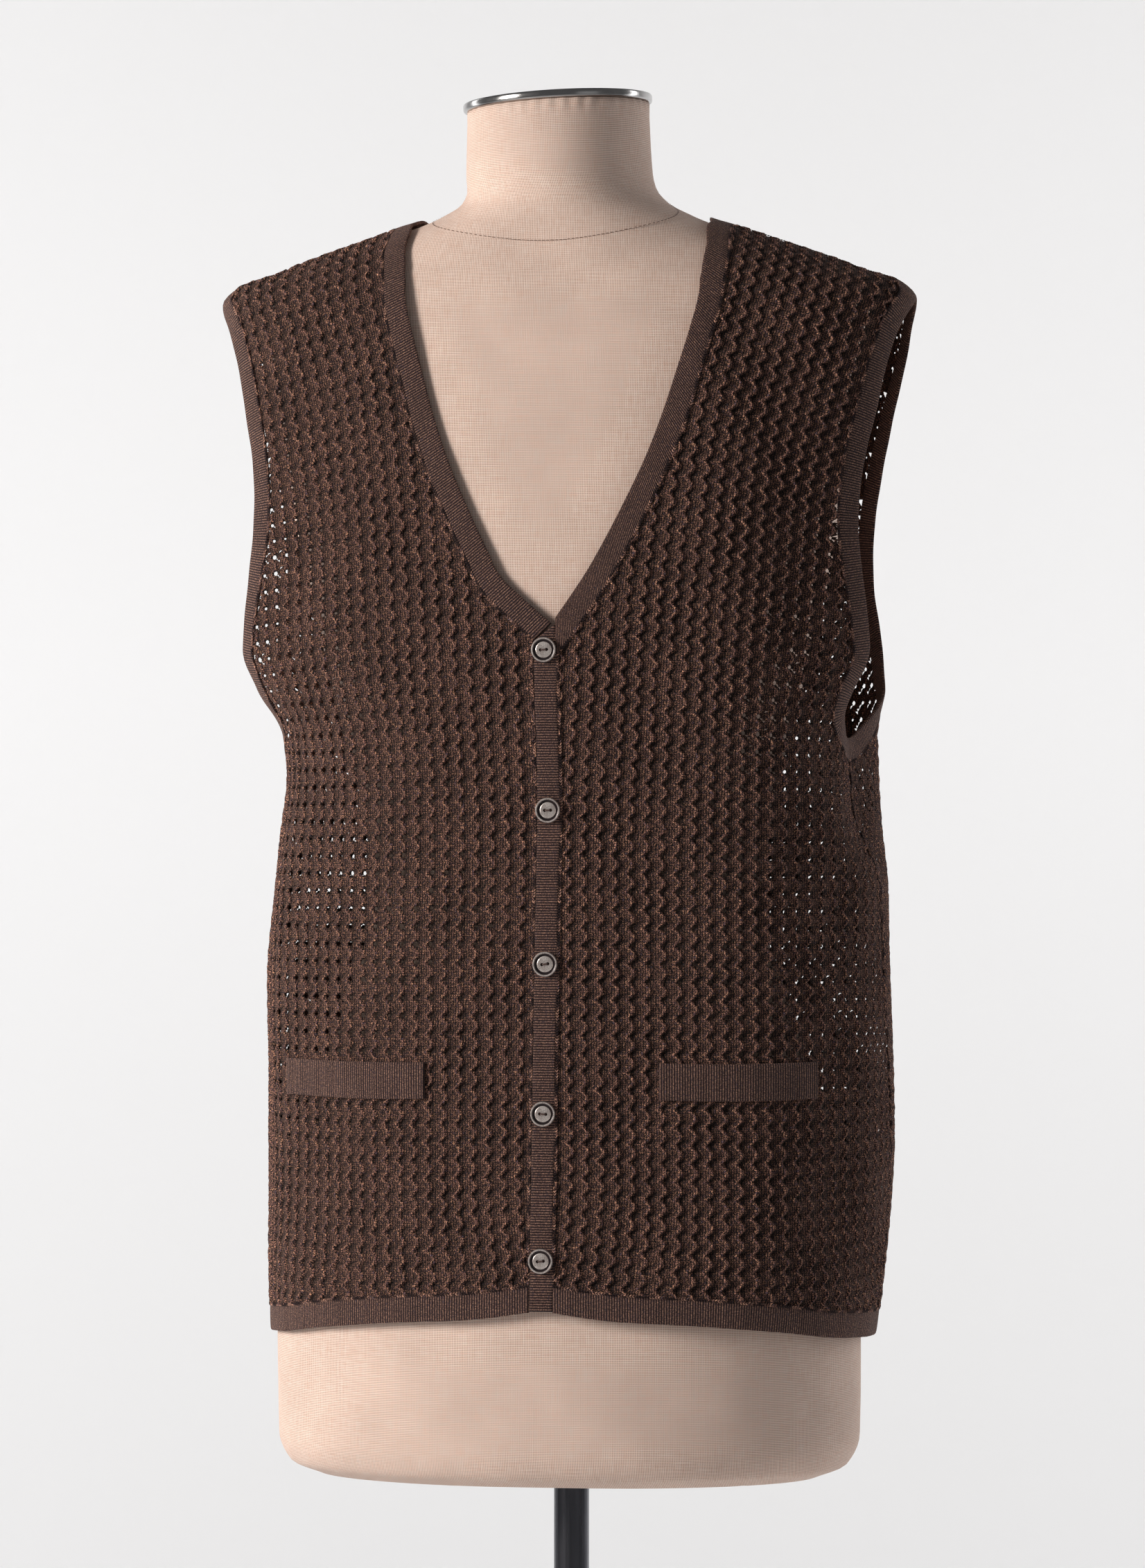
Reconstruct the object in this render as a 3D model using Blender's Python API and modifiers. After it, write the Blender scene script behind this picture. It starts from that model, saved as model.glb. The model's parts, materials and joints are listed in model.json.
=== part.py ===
"""A sleeveless open-knit cardigan resting on a limbless dress form on a pole stand.

Metres, +Z up, the floor at z = 0. The front faces -Y and the wearer's left is at +X. Every piece of
cloth is a wall cut from one envelope: closed rings at each height, a little off the form where the
cloth rests on it and hanging straight between. A place on the envelope is an angle round the body
(0 at centre front, positive towards the wearer's left, 180 degrees at centre back) and a height.
"""

import math

import bmesh
import bpy
import numpy as np
from mathutils import Matrix, Vector

# Cloth walls and gaps.
PANEL_WALL = 0.0019
BAND_WALL = 0.0021
WELT_WALL = 0.0018
SEAM_GAP = 0.0003
FORM_GAP = 0.0015
BAND_LIFT = 0.0003
PLACKET_LIFT = 0.0006
# Where cloth that rests and cloth that hangs meet, their surfaces blend over this depth.
REST_BLEND = 0.002
# On the flat shoulders of the form, a ring goes out by at most this many times the wall.
STEEPEST = 6

# Widths of the rib bands.
NECK_BAND_WIDTH = 0.0145
ARM_BAND_WIDTH = 0.0140
HEM_BAND_WIDTH = 0.0160
PLACKET_HALF_WIDTH = 0.0068

# Heights that the cut turns on.
V_POINT_Z = 1.1736
NECK_RIDGE_Z = 1.4230
UNDERARM_Z = 1.1060
SHOULDER_TIP_Z = 1.3715
SIDE_SEAM_RIGHT = -90.0
SIDE_SEAM_LEFT = 84.0
SHOULDER_SEAM = 90.0

# The left side seam and armhole foot turn forward below this height, over this drop.
TWIST_FROM_Z = 1.155
TWIST_DROP = 0.045
# Towards the hem the left side seam eases back again, by an angle, below a height, over a drop.
EASE_ANGLE = 5.0
EASE_FROM_Z = 1.05
EASE_DROP = 0.30

# Distances from the axis that turn a seam's gap into an angle.
SIDE_RADIUS = 0.19
SHOULDER_RADIUS = 0.07

# The form: z, half width, front y, back y, squareness of the ring.
FORM_RINGS = (
    (0.6570, 0.1535, -0.1025, 0.0745, 2.15),
    (0.6643, 0.1710, -0.1190, 0.0917, 2.15),
    (0.6820, 0.1785, -0.1260, 0.0990, 2.15),
    (0.7600, 0.1793, -0.1270, 0.1000, 2.15),
    (0.8500, 0.1680, -0.1255, 0.0970, 2.15),
    (0.9300, 0.1410, -0.1160, 0.0860, 2.10),
    (1.0100, 0.1190, -0.1040, 0.0710, 2.10),
    (1.0800, 0.1300, -0.1130, 0.0780, 2.10),
    (1.1500, 0.1480, -0.1243, 0.0880, 2.15),
    (1.2000, 0.1590, -0.1205, 0.0940, 2.20),
    (1.2600, 0.1730, -0.1100, 0.0970, 2.30),
    (1.3100, 0.1810, -0.1010, 0.0950, 2.35),
    (1.3500, 0.1855, -0.0930, 0.0880, 2.35),
    (1.3740, 0.1850, -0.0880, 0.0800, 2.25),
    (1.3860, 0.1800, -0.0855, 0.0740, 2.10),
    (1.3920, 0.1680, -0.0840, 0.0690, 2.00),
    (1.4000, 0.1460, -0.0820, 0.0620, 2.00),
    (1.4100, 0.1166, -0.0800, 0.0550, 2.00),
    (1.4160, 0.0987, -0.0795, 0.0510, 2.00),
    (1.4200, 0.0868, -0.0790, 0.0480, 2.00),
    (1.4250, 0.0756, -0.0787, 0.0445, 2.00),
    (1.4316, 0.0640, -0.0785, 0.0400, 2.00),
    (1.4410, 0.0580, -0.0785, 0.0360, 2.00),
    (1.4520, 0.0571, -0.0790, 0.0345, 2.00),
    (1.4905, 0.0555, -0.0810, 0.0310, 2.00),
)
FORM_TOP_Z = 1.4905
TILT_FROM_Z = 1.452
FORM_COLUMNS = 36
FORM_ROW_STEP = 0.030

# The cloth's outer face as it hangs: z, half width right, half width left, front y, back y, squareness.
CLOTH_RINGS = (
    (0.7300, 0.1820, 0.1865, -0.1345, 0.1070, 2.20),
    (0.7420, 0.1825, 0.1880, -0.1345, 0.1075, 2.20),
    (0.8060, 0.1840, 0.1955, -0.1340, 0.1080, 2.20),
    (0.8700, 0.1840, 0.1990, -0.1330, 0.1070, 2.20),
    (0.9550, 0.1845, 0.1965, -0.1325, 0.1050, 2.25),
    (1.0400, 0.1770, 0.1940, -0.1315, 0.1040, 2.25),
    (1.0830, 0.1725, 0.1915, -0.1310, 0.1030, 2.25),
    (1.1070, 0.1745, 0.1905, -0.1305, 0.1030, 2.25),
    (1.1360, 0.1940, 0.1950, -0.1300, 0.1030, 2.25),
    (1.1600, 0.2050, 0.1990, -0.1295, 0.1025, 2.25),
    (1.2000, 0.2065, 0.2015, -0.1255, 0.1020, 2.20),
    (1.2600, 0.2060, 0.2030, -0.1145, 0.1010, 2.20),
    (1.3100, 0.2080, 0.2060, -0.1045, 0.0980, 2.20),
    (1.3500, 0.2115, 0.2110, -0.0970, 0.0910, 2.20),
    (1.3720, 0.2135, 0.2135, -0.0930, 0.0840, 2.10),
    (1.3830, 0.2040, 0.2040, -0.0900, 0.0780, 2.00),
    (1.3900, 0.1830, 0.1830, -0.0885, 0.0740, 2.00),
    (1.4000, 0.1535, 0.1535, -0.0865, 0.0670, 2.00),
    (1.4100, 0.1237, 0.1237, -0.0845, 0.0600, 2.00),
    (1.4155, 0.1074, 0.1074, -0.0835, 0.0560, 2.00),
    (1.4210, 0.0910, 0.0910, -0.0825, 0.0525, 2.00),
    (1.4270, 0.0790, 0.0790, -0.0820, 0.0490, 2.00),
)

# The middle of the rings: z, y. The neck leans a little forward.
CENTRE_LINE = ((0.60, -0.0140), (1.30, -0.0140), (1.40, -0.0180), (1.44, -0.0215), (1.50, -0.0250))
# The neck leans a little to the wearer's right: z, x.
NECK_LEAN = ((0.60, 0.0), (1.425, 0.0), (1.450, -0.0042), (1.50, -0.0050))

# Soft folds: angle, depth (+ out), half spread in degrees, lowest z, highest z.
FOLDS = (
    (84.0, -0.0150, 9.0, 1.040, 1.135),
    (48.0, 0.0022, 9.0, 1.120, 1.390),
    (62.0, -0.0026, 7.0, 1.130, 1.360),
    (-52.0, 0.0018, 10.0, 1.120, 1.380),
    (-64.0, -0.0020, 6.0, 1.140, 1.340),
    (28.0, -0.0016, 9.0, 0.800, 1.130),
    (52.0, 0.0024, 10.0, 0.760, 1.150),
    (70.0, -0.0022, 7.0, 0.780, 1.120),
    (-34.0, 0.0014, 11.0, 0.790, 1.140),
    (-60.0, -0.0018, 8.0, 0.800, 1.100),
    (112.0, 0.0030, 12.0, 0.800, 1.180),
    (142.0, -0.0026, 10.0, 0.800, 1.240),
    (172.0, 0.0022, 12.0, 0.780, 1.220),
    (-158.0, -0.0024, 10.0, 0.800, 1.240),
    (-128.0, 0.0028, 12.0, 0.790, 1.180),
)
FOLD_FADE = 0.055

# Free edge of the neck opening from the V point to centre back: angle, z.
NECK_EDGE = (
    (12.0, 1.2000),
    (17.0, 1.2165),
    (26.0, 1.2490),
    (32.7, 1.2755),
    (38.5, 1.3030),
    (44.0, 1.3330),
    (49.0, 1.3605),
    (53.5, 1.3830),
    (58.5, 1.3990),
    (66.0, 1.4135),
    (76.0, 1.4195),
    (90.0, NECK_RIDGE_Z),
    (106.0, 1.4215),
    (125.0, 1.4185),
    (150.0, 1.4160),
)
NECK_CENTRE_BACK = (180.0, 1.4150)
V_POINT = (3.0, V_POINT_Z)

# Free edge of an armhole, from the underarm up the front, over the shoulder and down the back: angle, z.
ARM_EDGE = (
    (90.0, UNDERARM_Z),
    (85.5, 1.1090),
    (81.0, 1.1180),
    (78.3, 1.1330),
    (77.0, 1.1550),
    (75.5, 1.1900),
    (74.3, 1.2300),
    (76.0, 1.2700),
    (79.0, 1.3050),
    (81.5, 1.3350),
    (84.5, 1.3580),
    (90.0, SHOULDER_TIP_Z),
    (95.0, 1.3600),
    (98.0, 1.3300),
    (101.5, 1.3000),
    (105.0, 1.2650),
    (107.0, 1.2280),
    (106.5, 1.1900),
    (103.0, 1.1500),
    (98.5, 1.1250),
    (94.0, 1.1100),
)

# Lower edge of the garment: angle from centre front, z.
HEM_LINE = (
    (0.0, 0.7655),
    (20.0, 0.7595),
    (40.0, 0.7565),
    (58.0, 0.7515),
    (72.0, 0.7460),
    (90.0, 0.7435),
    (180.0, 0.7420),
)
# The angles at which the hem line gives the placket its foot and the hem bands their ends.
PLACKET_FOOT_ANGLE = 1.0
HEM_END_ANGLE = 2.0

# Middle of the button placket: z, x.
PLACKET_LINE = (
    (0.740, 0.0004),
    (0.795, 0.0006),
    (0.882, 0.0018),
    (0.971, 0.0030),
    (1.062, 0.0045),
    (1.175, 0.0012),
)
PLACKET_TOP_RIGHT_EDGE_Z = 1.1625
LEFT_CORNER_Z = 1.1540
# How far below the corner and below the V point the two plackets end.
TOP_PLACKET_DROP = 0.0008
UNDER_PLACKET_DROPS = (0.004, 0.006)
# The neck seam starts beside the placket and rejoins the band this much higher and further round.
NECK_FOOT_RISE = 0.004
NECK_FOOT_TURN = 0.03
BUTTON_HEIGHTS = (1.1576, 1.0624, 0.9712, 0.8824, 0.7952)

# Pocket welts: the angles of the two ends and the heights of the two edges.
WELT_RIGHT = (-68.5, -31.7)
WELT_LEFT = (32.0, 64.5)
WELT_LOW_Z = 0.8905
WELT_HIGH_Z = 0.9125

# Rows and columns of the walls.
FRONT_COLUMNS = 13
LOWER_ROWS = 13
ARM_ROWS = 23
BACK_SHOULDER_COLUMNS = 6
HALF_BACK_NECK_COLUMNS = 8
PLACKET_ROWS = 30
FRONT_HEM_COLUMNS = 13
BACK_HEM_COLUMNS = 22
WELT_COLUMNS = 10

# Buttons: the turned profile as radius, height.
BUTTON_PROFILE = (
    (0.0000, 0.0000),
    (0.0062, 0.0000),
    (0.0073, 0.0006),
    (0.0075, 0.0015),
    (0.0072, 0.0025),
    (0.0066, 0.0029),
    (0.0058, 0.0027),
    (0.0052, 0.0019),
    (0.0000, 0.0017),
)
BUTTON_STEPS = 20
BUTTON_HOLE_RADIUS = 0.0009
BUTTON_HOLE_PITCH = 0.0036

# The neck cap and the stand.
CAP_RADIUS = 0.0577
CAP_THICKNESS = 0.0050
CAP_ROLL = math.radians(3.2)
CAP_BEVEL = 0.0014
POLE_RADIUS = 0.0108
BASE_PROFILE = (
    (0.0000, 0.0000),
    (0.1580, 0.0000),
    (0.1600, 0.0020),
    (0.1600, 0.0080),
    (0.1570, 0.0100),
    (0.0300, 0.0140),
    (0.0220, 0.0160),
    (0.0210, 0.0300),
    (0.0195, 0.0315),
    (0.0000, 0.0315),
)
BASE_STEPS = 48

# Steps and limits of the geometry: a small step for slopes, the front's widest angle in radians, the
# halvings that find an angle, and the points between two rows of an edge table.
SMALL = 1e-4
FRONT_LIMIT = 1.4
HALVINGS = 40
POINTS_BETWEEN = 8
FULL_TURN = 2 * math.pi


# ---------------------------------------------------------------- curves through tables


def monotone_slopes(xs, ys):
    """The slopes of a curve through the rows of a table that never overshoots them."""
    steps = np.diff(xs)
    rises = np.diff(ys) / steps
    slopes = np.zeros_like(ys)
    slopes[0], slopes[-1] = rises[0], rises[-1]
    for i in range(1, len(xs) - 1):
        if rises[i - 1] * rises[i] > 0:
            after, before = 2 * steps[i] + steps[i - 1], steps[i] + 2 * steps[i - 1]
            slopes[i] = (after + before) / (after / rises[i - 1] + before / rises[i])
    return slopes


class Table:
    """Smooth columns over the first column of a table."""

    def __init__(self, rows):
        columns = np.array(rows, float).T
        self.xs = columns[0]
        self.columns = [(ys, monotone_slopes(self.xs, ys)) for ys in columns[1:]]

    def at(self, x):
        xs = self.xs
        x = np.clip(x, xs[0], xs[-1])
        i = np.clip(np.searchsorted(xs, x) - 1, 0, len(xs) - 2)
        step = xs[i + 1] - xs[i]
        t = (x - xs[i]) / step
        found = []
        for ys, slopes in self.columns:
            near = ys[i] * (1 + 2 * t) * (1 - t) ** 2 + step * slopes[i] * t * (1 - t) ** 2
            far = ys[i + 1] * t * t * (3 - 2 * t) + step * slopes[i + 1] * t * t * (t - 1)
            found.append(near + far)
        return found if len(found) > 1 else found[0]


FORM = Table(FORM_RINGS)
CLOTH = Table(CLOTH_RINGS)
CENTRE = Table(CENTRE_LINE)
LEAN = Table(NECK_LEAN)
HEM = Table(HEM_LINE)
PLACKET = Table(PLACKET_LINE)


def smooth_step(x):
    x = np.clip(x, 0.0, 1.0)
    return x * x * (3 - 2 * x)


# ---------------------------------------------------------------- the envelope


def ring_radius(angle, half_width, half_depth, squareness):
    across = np.abs(np.sin(angle) / half_width) ** squareness
    along = np.abs(np.cos(angle) / half_depth) ** squareness
    return (across + along) ** (-1 / squareness)


def form_radius(angle, z):
    half_width, front, back, squareness = FORM.at(z)
    middle = CENTRE.at(z)
    half_depth = np.where(np.cos(angle) > 0, middle - front, back - middle)
    return ring_radius(angle, half_width, half_depth, squareness)


def fold_depth(angle, z):
    total = 0.0 * angle + 0.0 * z
    for centre, depth, spread, low, high in FOLDS:
        turn = (np.degrees(angle) - centre + 180) % 360 - 180
        reach = smooth_step((z - low) / FOLD_FADE + 0.5) * smooth_step((high - z) / FOLD_FADE + 0.5)
        total = total + depth * np.exp(-((turn / spread) ** 2)) * reach
    return total


def hanging_radius(angle, z):
    right, left, front, back, squareness = CLOTH.at(z)
    middle = CENTRE.at(z)
    half_depth = np.where(np.cos(angle) > 0, middle - front, back - middle)
    half_width = np.where(np.sin(angle) > 0, left, right)
    return ring_radius(angle, half_width, half_depth, squareness) + fold_depth(angle, z)


def steepness(angle, z):
    """How much further out a ring must go for a step of one along the form's normal."""
    turn = (form_radius(angle + SMALL, z) - form_radius(angle - SMALL, z)) / (2 * SMALL)
    rise = (form_radius(angle, z + SMALL) - form_radius(angle, z - SMALL)) / (2 * SMALL)
    return np.sqrt(1 + (turn / form_radius(angle, z)) ** 2 + rise**2)


def cloth_radius(angle, z):
    """The cloth's outer face: as it hangs, or just clear of the form where it rests."""
    clear = (PANEL_WALL + FORM_GAP) * np.minimum(steepness(angle, z), STEEPEST)
    resting = form_radius(angle, z) + clear
    hanging = hanging_radius(angle, z)
    share = np.clip(0.5 + 0.5 * (hanging - resting) / REST_BLEND, 0, 1)
    return resting * (1 - share) + hanging * share + REST_BLEND * share * (1 - share)


def place(angle, z, radius=cloth_radius):
    r = radius(angle, z)
    return np.stack([r * np.sin(angle), CENTRE.at(z) - r * np.cos(angle), z + 0.0 * r], axis=-1)


def normal(angle, z):
    round_body = place(angle + SMALL, z) - place(angle - SMALL, z)
    upward = place(angle, z + SMALL) - place(angle, z - SMALL)
    outward = np.cross(round_body, upward)
    return outward / np.linalg.norm(outward, axis=-1, keepdims=True)


def domain(points):
    """The angle and height of points near the envelope, as rows."""
    middle = CENTRE.at(points[:, 2])
    return np.stack([np.arctan2(points[:, 0], middle - points[:, 1]), points[:, 2]], axis=-1)


def angle_at_x(x, z):
    """The angle at which the front of the envelope has this x at this height."""
    low, high = np.full(np.shape(z), -FRONT_LIMIT), np.full(np.shape(z), FRONT_LIMIT)
    for _ in range(HALVINGS):
        middle = (low + high) / 2
        below = cloth_radius(middle, z) * np.sin(middle) < x
        low, high = np.where(below, middle, low), np.where(below, high, middle)
    return (low + high) / 2


# ---------------------------------------------------------------- curves on the envelope


def spline(rows, closed=False):
    """A smooth curve through rows of angle (degrees) and z, as dense rows of radians and z."""
    points = np.array(rows, float)
    points[:, 0] = np.radians(points[:, 0])
    count = len(points)
    t = (np.arange(POINTS_BETWEEN) / POINTS_BETWEEN)[:, None]
    found = []
    for i in range(count if closed else count - 1):
        picks = [(i + k) % count if closed else min(max(i + k, 0), count - 1) for k in (-1, 0, 1, 2)]
        a, b, c, d = points[picks]
        bend = (2 * a - 5 * b + 4 * c - d) * t**2 + (3 * b - a - 3 * c + d) * t**3
        found.append((2 * b + (c - a) * t + bend) / 2)
    found.append(points[:1] if closed else points[-1:])
    return np.vstack(found)


def lengths(curve):
    points = place(curve[:, 0], curve[:, 1])
    steps = np.linalg.norm(np.diff(points, axis=0), axis=1)
    return np.concatenate([[0.0], np.cumsum(steps)])


def resample(curve, count):
    """The curve at count evenly spaced points."""
    run = lengths(curve)
    wanted = np.linspace(0, run[-1], count)
    return np.stack([np.interp(wanted, run, curve[:, k]) for k in (0, 1)], axis=-1)


def step_aside(curve, width, closed=False):
    """The curve moved over the envelope by a width, to the right of its direction seen from outside."""
    points = place(curve[:, 0], curve[:, 1])
    ahead = np.gradient(points, axis=0)
    if closed:
        ahead[0] = ahead[-1] = points[1] - points[-2]
    ahead /= np.linalg.norm(ahead, axis=1, keepdims=True)
    aside = np.cross(ahead, normal(curve[:, 0], curve[:, 1]))
    moved = domain(points + aside * width)
    near = curve[:, 0]
    moved[:, 0] = near + (moved[:, 0] - near + math.pi) % FULL_TURN - math.pi
    return moved


def cut_below_x(curve, x, side):
    """Drops the start of a curve that lies nearer the middle than x, and starts it on x."""
    xs = place(curve[:, 0], curve[:, 1])[:, 0] * side
    first = int(np.argmax(xs > x * side))
    if first == 0:
        return curve
    share = (x * side - xs[first - 1]) / (xs[first] - xs[first - 1])
    start = curve[first - 1] + share * (curve[first] - curve[first - 1])
    return np.vstack([start, curve[first:]])


def neck_edge(side):
    """The neck's free edge from the V point to centre back, on one side."""
    rows = [V_POINT] + [(side * angle, z) for angle, z in NECK_EDGE]
    rows.append((side * NECK_CENTRE_BACK[0], NECK_CENTRE_BACK[1]))
    return spline(rows)


def neck_seam(side):
    """The line where the neck band meets the panels, from the V point to centre back."""
    return step_aside(neck_edge(side), NECK_BAND_WIDTH * side)


def twist(z, side):
    """How far the left side seam lies forward of the right one, in radians."""
    if side < 0:
        return 0.0 * z
    forward = math.radians(SHOULDER_SEAM - SIDE_SEAM_LEFT)
    return forward * smooth_step((TWIST_FROM_Z - z) / TWIST_DROP)


def arm_edge(side):
    """An armhole's free edge: from the underarm up the front, over the shoulder and down the back."""
    curve = spline(ARM_EDGE, closed=True)
    curve[:, 0] -= twist(curve[:, 1], side)
    curve[:, 0] *= side
    return curve


def paired(free, seam, count):
    """A free edge and its seam at the same evenly spaced stations along the seam."""
    run = lengths(seam)
    wanted = np.linspace(0, run[-1], count)
    return [np.stack([np.interp(wanted, run, line[:, k]) for k in (0, 1)], axis=-1) for line in (free, seam)]


def arm_stations(side):
    """The armhole's free edge and seam: the front half, then the back half, each up from the underarm."""
    free = arm_edge(side)
    seam = step_aside(free, -ARM_BAND_WIDTH * side, closed=True)
    peak = int(np.argmax(seam[:, 1]))
    front = paired(free[: peak + 1], seam[: peak + 1], ARM_ROWS + 1)
    back = paired(free[peak:][::-1], seam[peak:][::-1], ARM_ROWS + 1)
    return front, back


def split_at_ridge(curve):
    """A curve's part before the shoulder ridge and its part after it, sharing a point on the ridge."""
    ridge = math.radians(SHOULDER_SEAM)
    turned_by = np.abs(curve[:, 0])
    after = int(np.argmax(turned_by > ridge))
    share = (ridge - turned_by[after - 1]) / (turned_by[after] - turned_by[after - 1])
    crossing = curve[after - 1] + share * (curve[after] - curve[after - 1])
    return np.vstack([curve[:after], crossing]), np.vstack([crossing, curve[after:]])


def corner_row(side):
    """The armhole station that lies level with the corner where the placket meets the neck band."""
    front, _ = arm_stations(side)
    return int(np.argmax(front[1][:, 1] > front_corner_z(side)))


def neck_stations(side):
    """The neck's free edge and seam in front of the shoulder ridge, then the same behind it."""
    free, seam = neck_edge(side), neck_seam(side)
    if side < 0:
        foot = placket_edge(np.array([PLACKET_TOP_RIGHT_EDGE_Z]), side)
    else:
        cut = PLACKET.at(V_POINT_Z) + PLACKET_HALF_WIDTH + SEAM_GAP
        free = cut_below_x(free, cut, side)
        foot = placket_edge(np.array([LEFT_CORNER_Z + SEAM_GAP]), side, SEAM_GAP)
    higher = seam[:, 1] > foot[0, 1] + NECK_FOOT_RISE
    further = side * seam[:, 0] > side * foot[0, 0] + NECK_FOOT_TURN
    seam = np.vstack([foot, seam[higher & further]])
    free_front, free_back = split_at_ridge(free)
    seam_front, seam_back = split_at_ridge(seam)
    rows = ARM_ROWS - corner_row(side) + 1
    front = resample(free_front, rows), resample(seam_front, rows)
    columns = HALF_BACK_NECK_COLUMNS + 1
    return front, (resample(free_back, columns), resample(seam_back, columns))


# ---------------------------------------------------------------- Blender objects


def clear_scene():
    for obj in list(bpy.data.objects):
        bpy.data.objects.remove(obj, do_unlink=True)


def new_collection(name, hidden=False):
    collection = bpy.data.collections.new(name)
    bpy.context.scene.collection.children.link(collection)
    collection.hide_render = hidden
    return collection


def material(name, colour, roughness, metallic=0.0):
    made = bpy.data.materials.new(name)
    made.use_nodes = True
    shader = made.node_tree.nodes["Principled BSDF"]
    shader.inputs["Base Color"].default_value = (*colour, 1.0)
    shader.inputs["Roughness"].default_value = roughness
    shader.inputs["Metallic"].default_value = metallic
    return made


def mesh_object(name, points, faces, collection, finish):
    mesh = bpy.data.meshes.new(name)
    mesh.from_pydata([tuple(p) for p in points], [], faces)
    shaped = bmesh.new()
    shaped.from_mesh(mesh)
    bmesh.ops.recalc_face_normals(shaped, faces=shaped.faces)
    shaped.to_mesh(mesh)
    shaped.free()
    mesh.materials.append(finish)
    obj = bpy.data.objects.new(name, mesh)
    collection.objects.link(obj)
    return obj


def wall(name, grid, outer, thickness, collection, finish, closed=False):
    """A cloth wall on a grid of angle and z: rows by columns, its outer face at outer off the envelope."""
    angle, z = grid[..., 0], grid[..., 1]
    surface, out = place(angle, z), normal(angle, z)
    rows, columns = angle.shape
    if closed:
        surface, out, rows = surface[:-1], out[:-1], rows - 1
    outer_face, inner_face = surface + out * outer, surface + out * (outer - thickness)
    points = np.concatenate([outer_face.reshape(-1, 3), inner_face.reshape(-1, 3)])
    inner = rows * columns
    faces = []
    for row in range(rows if closed else rows - 1):
        low, high = row * columns, (row + 1) % rows * columns
        for c in range(columns - 1):
            a, b, d, e = low + c, low + c + 1, high + c + 1, high + c
            faces.append((a, b, d, e))
            faces.append((inner + e, inner + d, inner + b, inner + a))
        for c in (0, columns - 1):
            faces.append((low + c, high + c, inner + high + c, inner + low + c))
    if not closed:
        for r in (0, rows - 1):
            for c in range(columns - 1):
                a, b = r * columns + c, r * columns + c + 1
                faces.append((a, b, inner + b, inner + a))
    return mesh_object(name, points, faces, collection, finish)


def turned(name, profile, steps, collection, finish):
    """A solid of revolution about Z, with the Screw modifier."""
    mesh = bpy.data.meshes.new(name)
    mesh.from_pydata([(r, 0.0, z) for r, z in profile], [(i, i + 1) for i in range(len(profile) - 1)], [])
    mesh.materials.append(finish)
    obj = bpy.data.objects.new(name, mesh)
    collection.objects.link(obj)
    screw = obj.modifiers.new("turn", "SCREW")
    screw.steps = screw.render_steps = steps
    screw.use_merge_vertices = True
    screw.merge_threshold = 0.00001
    screw.use_normal_calculate = True
    return obj


def cylinder(name, vertices, radius, depth, collection):
    """A cylinder about Z through the origin, in the given collection alone."""
    bpy.ops.mesh.primitive_cylinder_add(vertices=vertices, radius=radius, depth=depth)
    obj = bpy.context.object
    obj.name = name
    for owner in list(obj.users_collection):
        owner.objects.unlink(obj)
    collection.objects.link(obj)
    return obj


# ---------------------------------------------------------------- the cloth


def rows_between(first, last, columns):
    """A grid whose rows run straight from each point of first to the same point of last."""
    share = np.linspace(0, 1, columns)[None, :, None]
    return first[:, None, :] * (1 - share) + last[:, None, :] * share


def placket_edge(z, side, spread=0.0):
    """The placket's edge on one side at these heights, moved out by a spread."""
    x = PLACKET.at(z) + side * (PLACKET_HALF_WIDTH + spread)
    return np.stack([angle_at_x(x, z), z], axis=-1)


def hem_height(angle):
    return HEM.at(np.abs(np.degrees(angle)))


def side_angle(side):
    """How far round from centre front a side seam lies."""
    return math.radians(abs(SIDE_SEAM_RIGHT if side < 0 else SIDE_SEAM_LEFT))


def side_seam(side, z, shift):
    """The side seam at these heights, moved towards the front by a shift in metres."""
    angle = side * side_angle(side) + 0.0 * z
    ease = math.radians(EASE_ANGLE) * smooth_step((EASE_FROM_Z - z) / EASE_DROP) if side > 0 else 0.0
    return np.stack([angle + ease - side * shift / SIDE_RADIUS, z], axis=-1)


def front_corner_z(side):
    return PLACKET_TOP_RIGHT_EDGE_Z if side < 0 else LEFT_CORNER_Z


def hem_seam_z(angle):
    return hem_height(angle) + HEM_BAND_WIDTH + SEAM_GAP


def arm_panel_edge(side, half, facing):
    """The edge of a panel along half an armhole, clear of the band, the side seam and the shoulder seam."""
    turn = side * facing * SEAM_GAP / 2
    edge = step_aside(half[1], facing * side * SEAM_GAP)
    edge[0] = (edge[0, 0] + turn / SIDE_RADIUS, half[1][0, 1] - SEAM_GAP)
    ridge = side * math.radians(SHOULDER_SEAM)
    edge[-1] = (ridge + turn / SHOULDER_RADIUS, half[1][-1, 1] + SEAM_GAP / 3)
    return edge


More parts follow.
